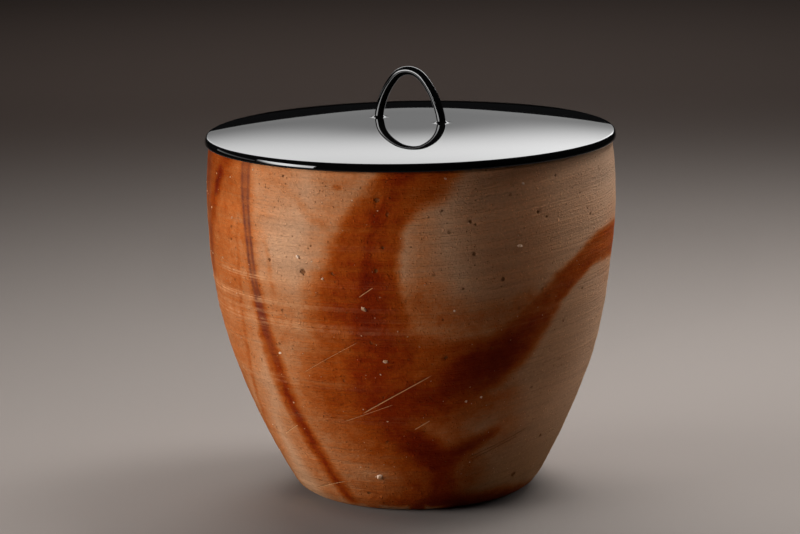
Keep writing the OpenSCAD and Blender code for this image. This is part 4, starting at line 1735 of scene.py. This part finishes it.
@dataclass
class Studio:
    """The floor, the lamps and the camera."""

    lens: float = 167.446
    distance: float = 1.7
    camera_z: float = 0.43706
    camera_side: float = -5.95 * MM
    pitch: float = 11.0716
    roll: float = -1.097
    ambient: float = 0.005
    ambient_colour: Colour = (0.9, 0.92, 1.0)
    floor_half: float = 8.0
    # Each a name, a bearing, a distance, a height, a size and a radiance, and what else sets it apart
    lamps: Sequence[Softbox] = (
        Softbox("key", -72.5, 1.25, 0.31, (0.88, 0.36), 3.45, spread=80.0),
        Softbox("strip", -72.5, 1.24, 0.31, (0.88, 0.36), 3.45, spread=80.0, role=Role.MIRRORED,
                grading=Grading(0.02, (-1.1, -0.1), middle=1.0, bend=-1.6, tilt=0.0)),
        Softbox("left_card", -113.0, 1.25, 0.27, (0.9, 0.1), 0.7, role=Role.MIRRORED),
        Softbox("edge", 112.0, 0.9, 0.38, (0.4, 0.6), 0.44, spread=70.0, aim_z=0.12),
        Softbox("brow", 107.0, 0.6, 1.0, (0.4, 0.4), 0.85, spread=60.0, aim_z=0.16),
        Softbox("back", 188.0, 0.66, 1.15, (0.8, 0.8), 1.4, spread=90.0, aim_z=0.0),
        Softbox("pool", 120.0, 0.48, 1.1, (0.4, 0.4), 3.1, spread=70.0, aim_z=0.0, aim_r=0.4),
        Softbox("left_pool", -62.0, 0.5, 1.0, (0.4, 0.4), 0.85, spread=60.0, aim_z=0.0, aim_r=0.45),
        Softbox("far", 180.0, 1.3, 1.2, (1.0, 1.0), 0.3, spread=90.0, aim_z=0.0, aim_r=1.29,
                colour=(1.0, 0.86, 0.81)),
        Softbox("card", 177.0, 0.834, 0.441, (0.9, 0.47), 3.25, aim_z=-0.393, role=Role.MIRRORED,
                grading=Grading(0.12, (0.12, 0.88))),
    )

    def build_camera(self) -> bpy.types.Object:
        """Return the camera at the photograph's place and angle.

        Returns:
            The camera, which is the scene's own.
        """
        data = bpy.data.cameras.new("camera")
        data.lens = self.lens
        camera = bpy.data.objects.new("camera", data)
        bpy.context.scene.collection.objects.link(camera)
        pitch, roll = math.radians(self.pitch), math.radians(self.roll)
        forward = Vector((0.0, math.cos(pitch), -math.sin(pitch)))
        level = Vector((1.0, 0.0, 0.0))
        rise = level.cross(forward)
        right = level * math.cos(roll) + rise * math.sin(roll)
        up = rise * math.cos(roll) - level * math.sin(roll)
        turn = Matrix((right, up, -forward)).transposed().to_4x4()
        turn.translation = Vector((self.camera_side, -self.distance, self.camera_z))
        camera.matrix_world = Matrix.Rotation(math.radians(FRONT_AZIMUTH), 4, "Z") @ turn
        bpy.context.scene.camera = camera
        return camera

    def build_floor(self) -> bpy.types.Object:
        """Return the floor.

        Returns:
            The floor.
        """
        half = self.floor_half
        corners = np.array([(-half, -half, 0), (half, -half, 0), (half, half, 0), (-half, half, 0)], float)
        floor = linked_object("floor", mesh_from_arrays("floor", corners, np.array([[0, 1, 2, 3]])))
        floor.data.materials.append(FloorPaper().material())
        return floor

    def build_world(self) -> None:
        """Give the scene its dim, even ambient light."""
        world = bpy.data.worlds.new("studio")
        world.use_nodes = True
        background = world.node_tree.nodes["Background"]
        background.inputs["Color"].default_value = (*self.ambient_colour, 1.0)
        background.inputs["Strength"].default_value = self.ambient
        bpy.context.scene.world = world

    def build(self) -> None:
        """Set up the whole studio."""
        bpy.context.scene.view_settings.view_transform = "Standard"
        self.build_camera()
        self.build_floor()
        self.build_world()
        for lamp in self.lamps:
            lamp.build()


def main() -> None:
    """Build the studio and every piece of the jar, and say so."""
    logging.basicConfig(level=logging.INFO, format="%(name)s: %(message)s")
    Studio().build()
    log.info("studio is set")
    jar = Jar()
    pieces = [jar.build(), Grains(jar).build(), *Lid().build()]
    for piece in pieces:
        log.info("%s has %d faces", piece.name, len(piece.data.polygons))


if __name__ == "__main__":
    main()
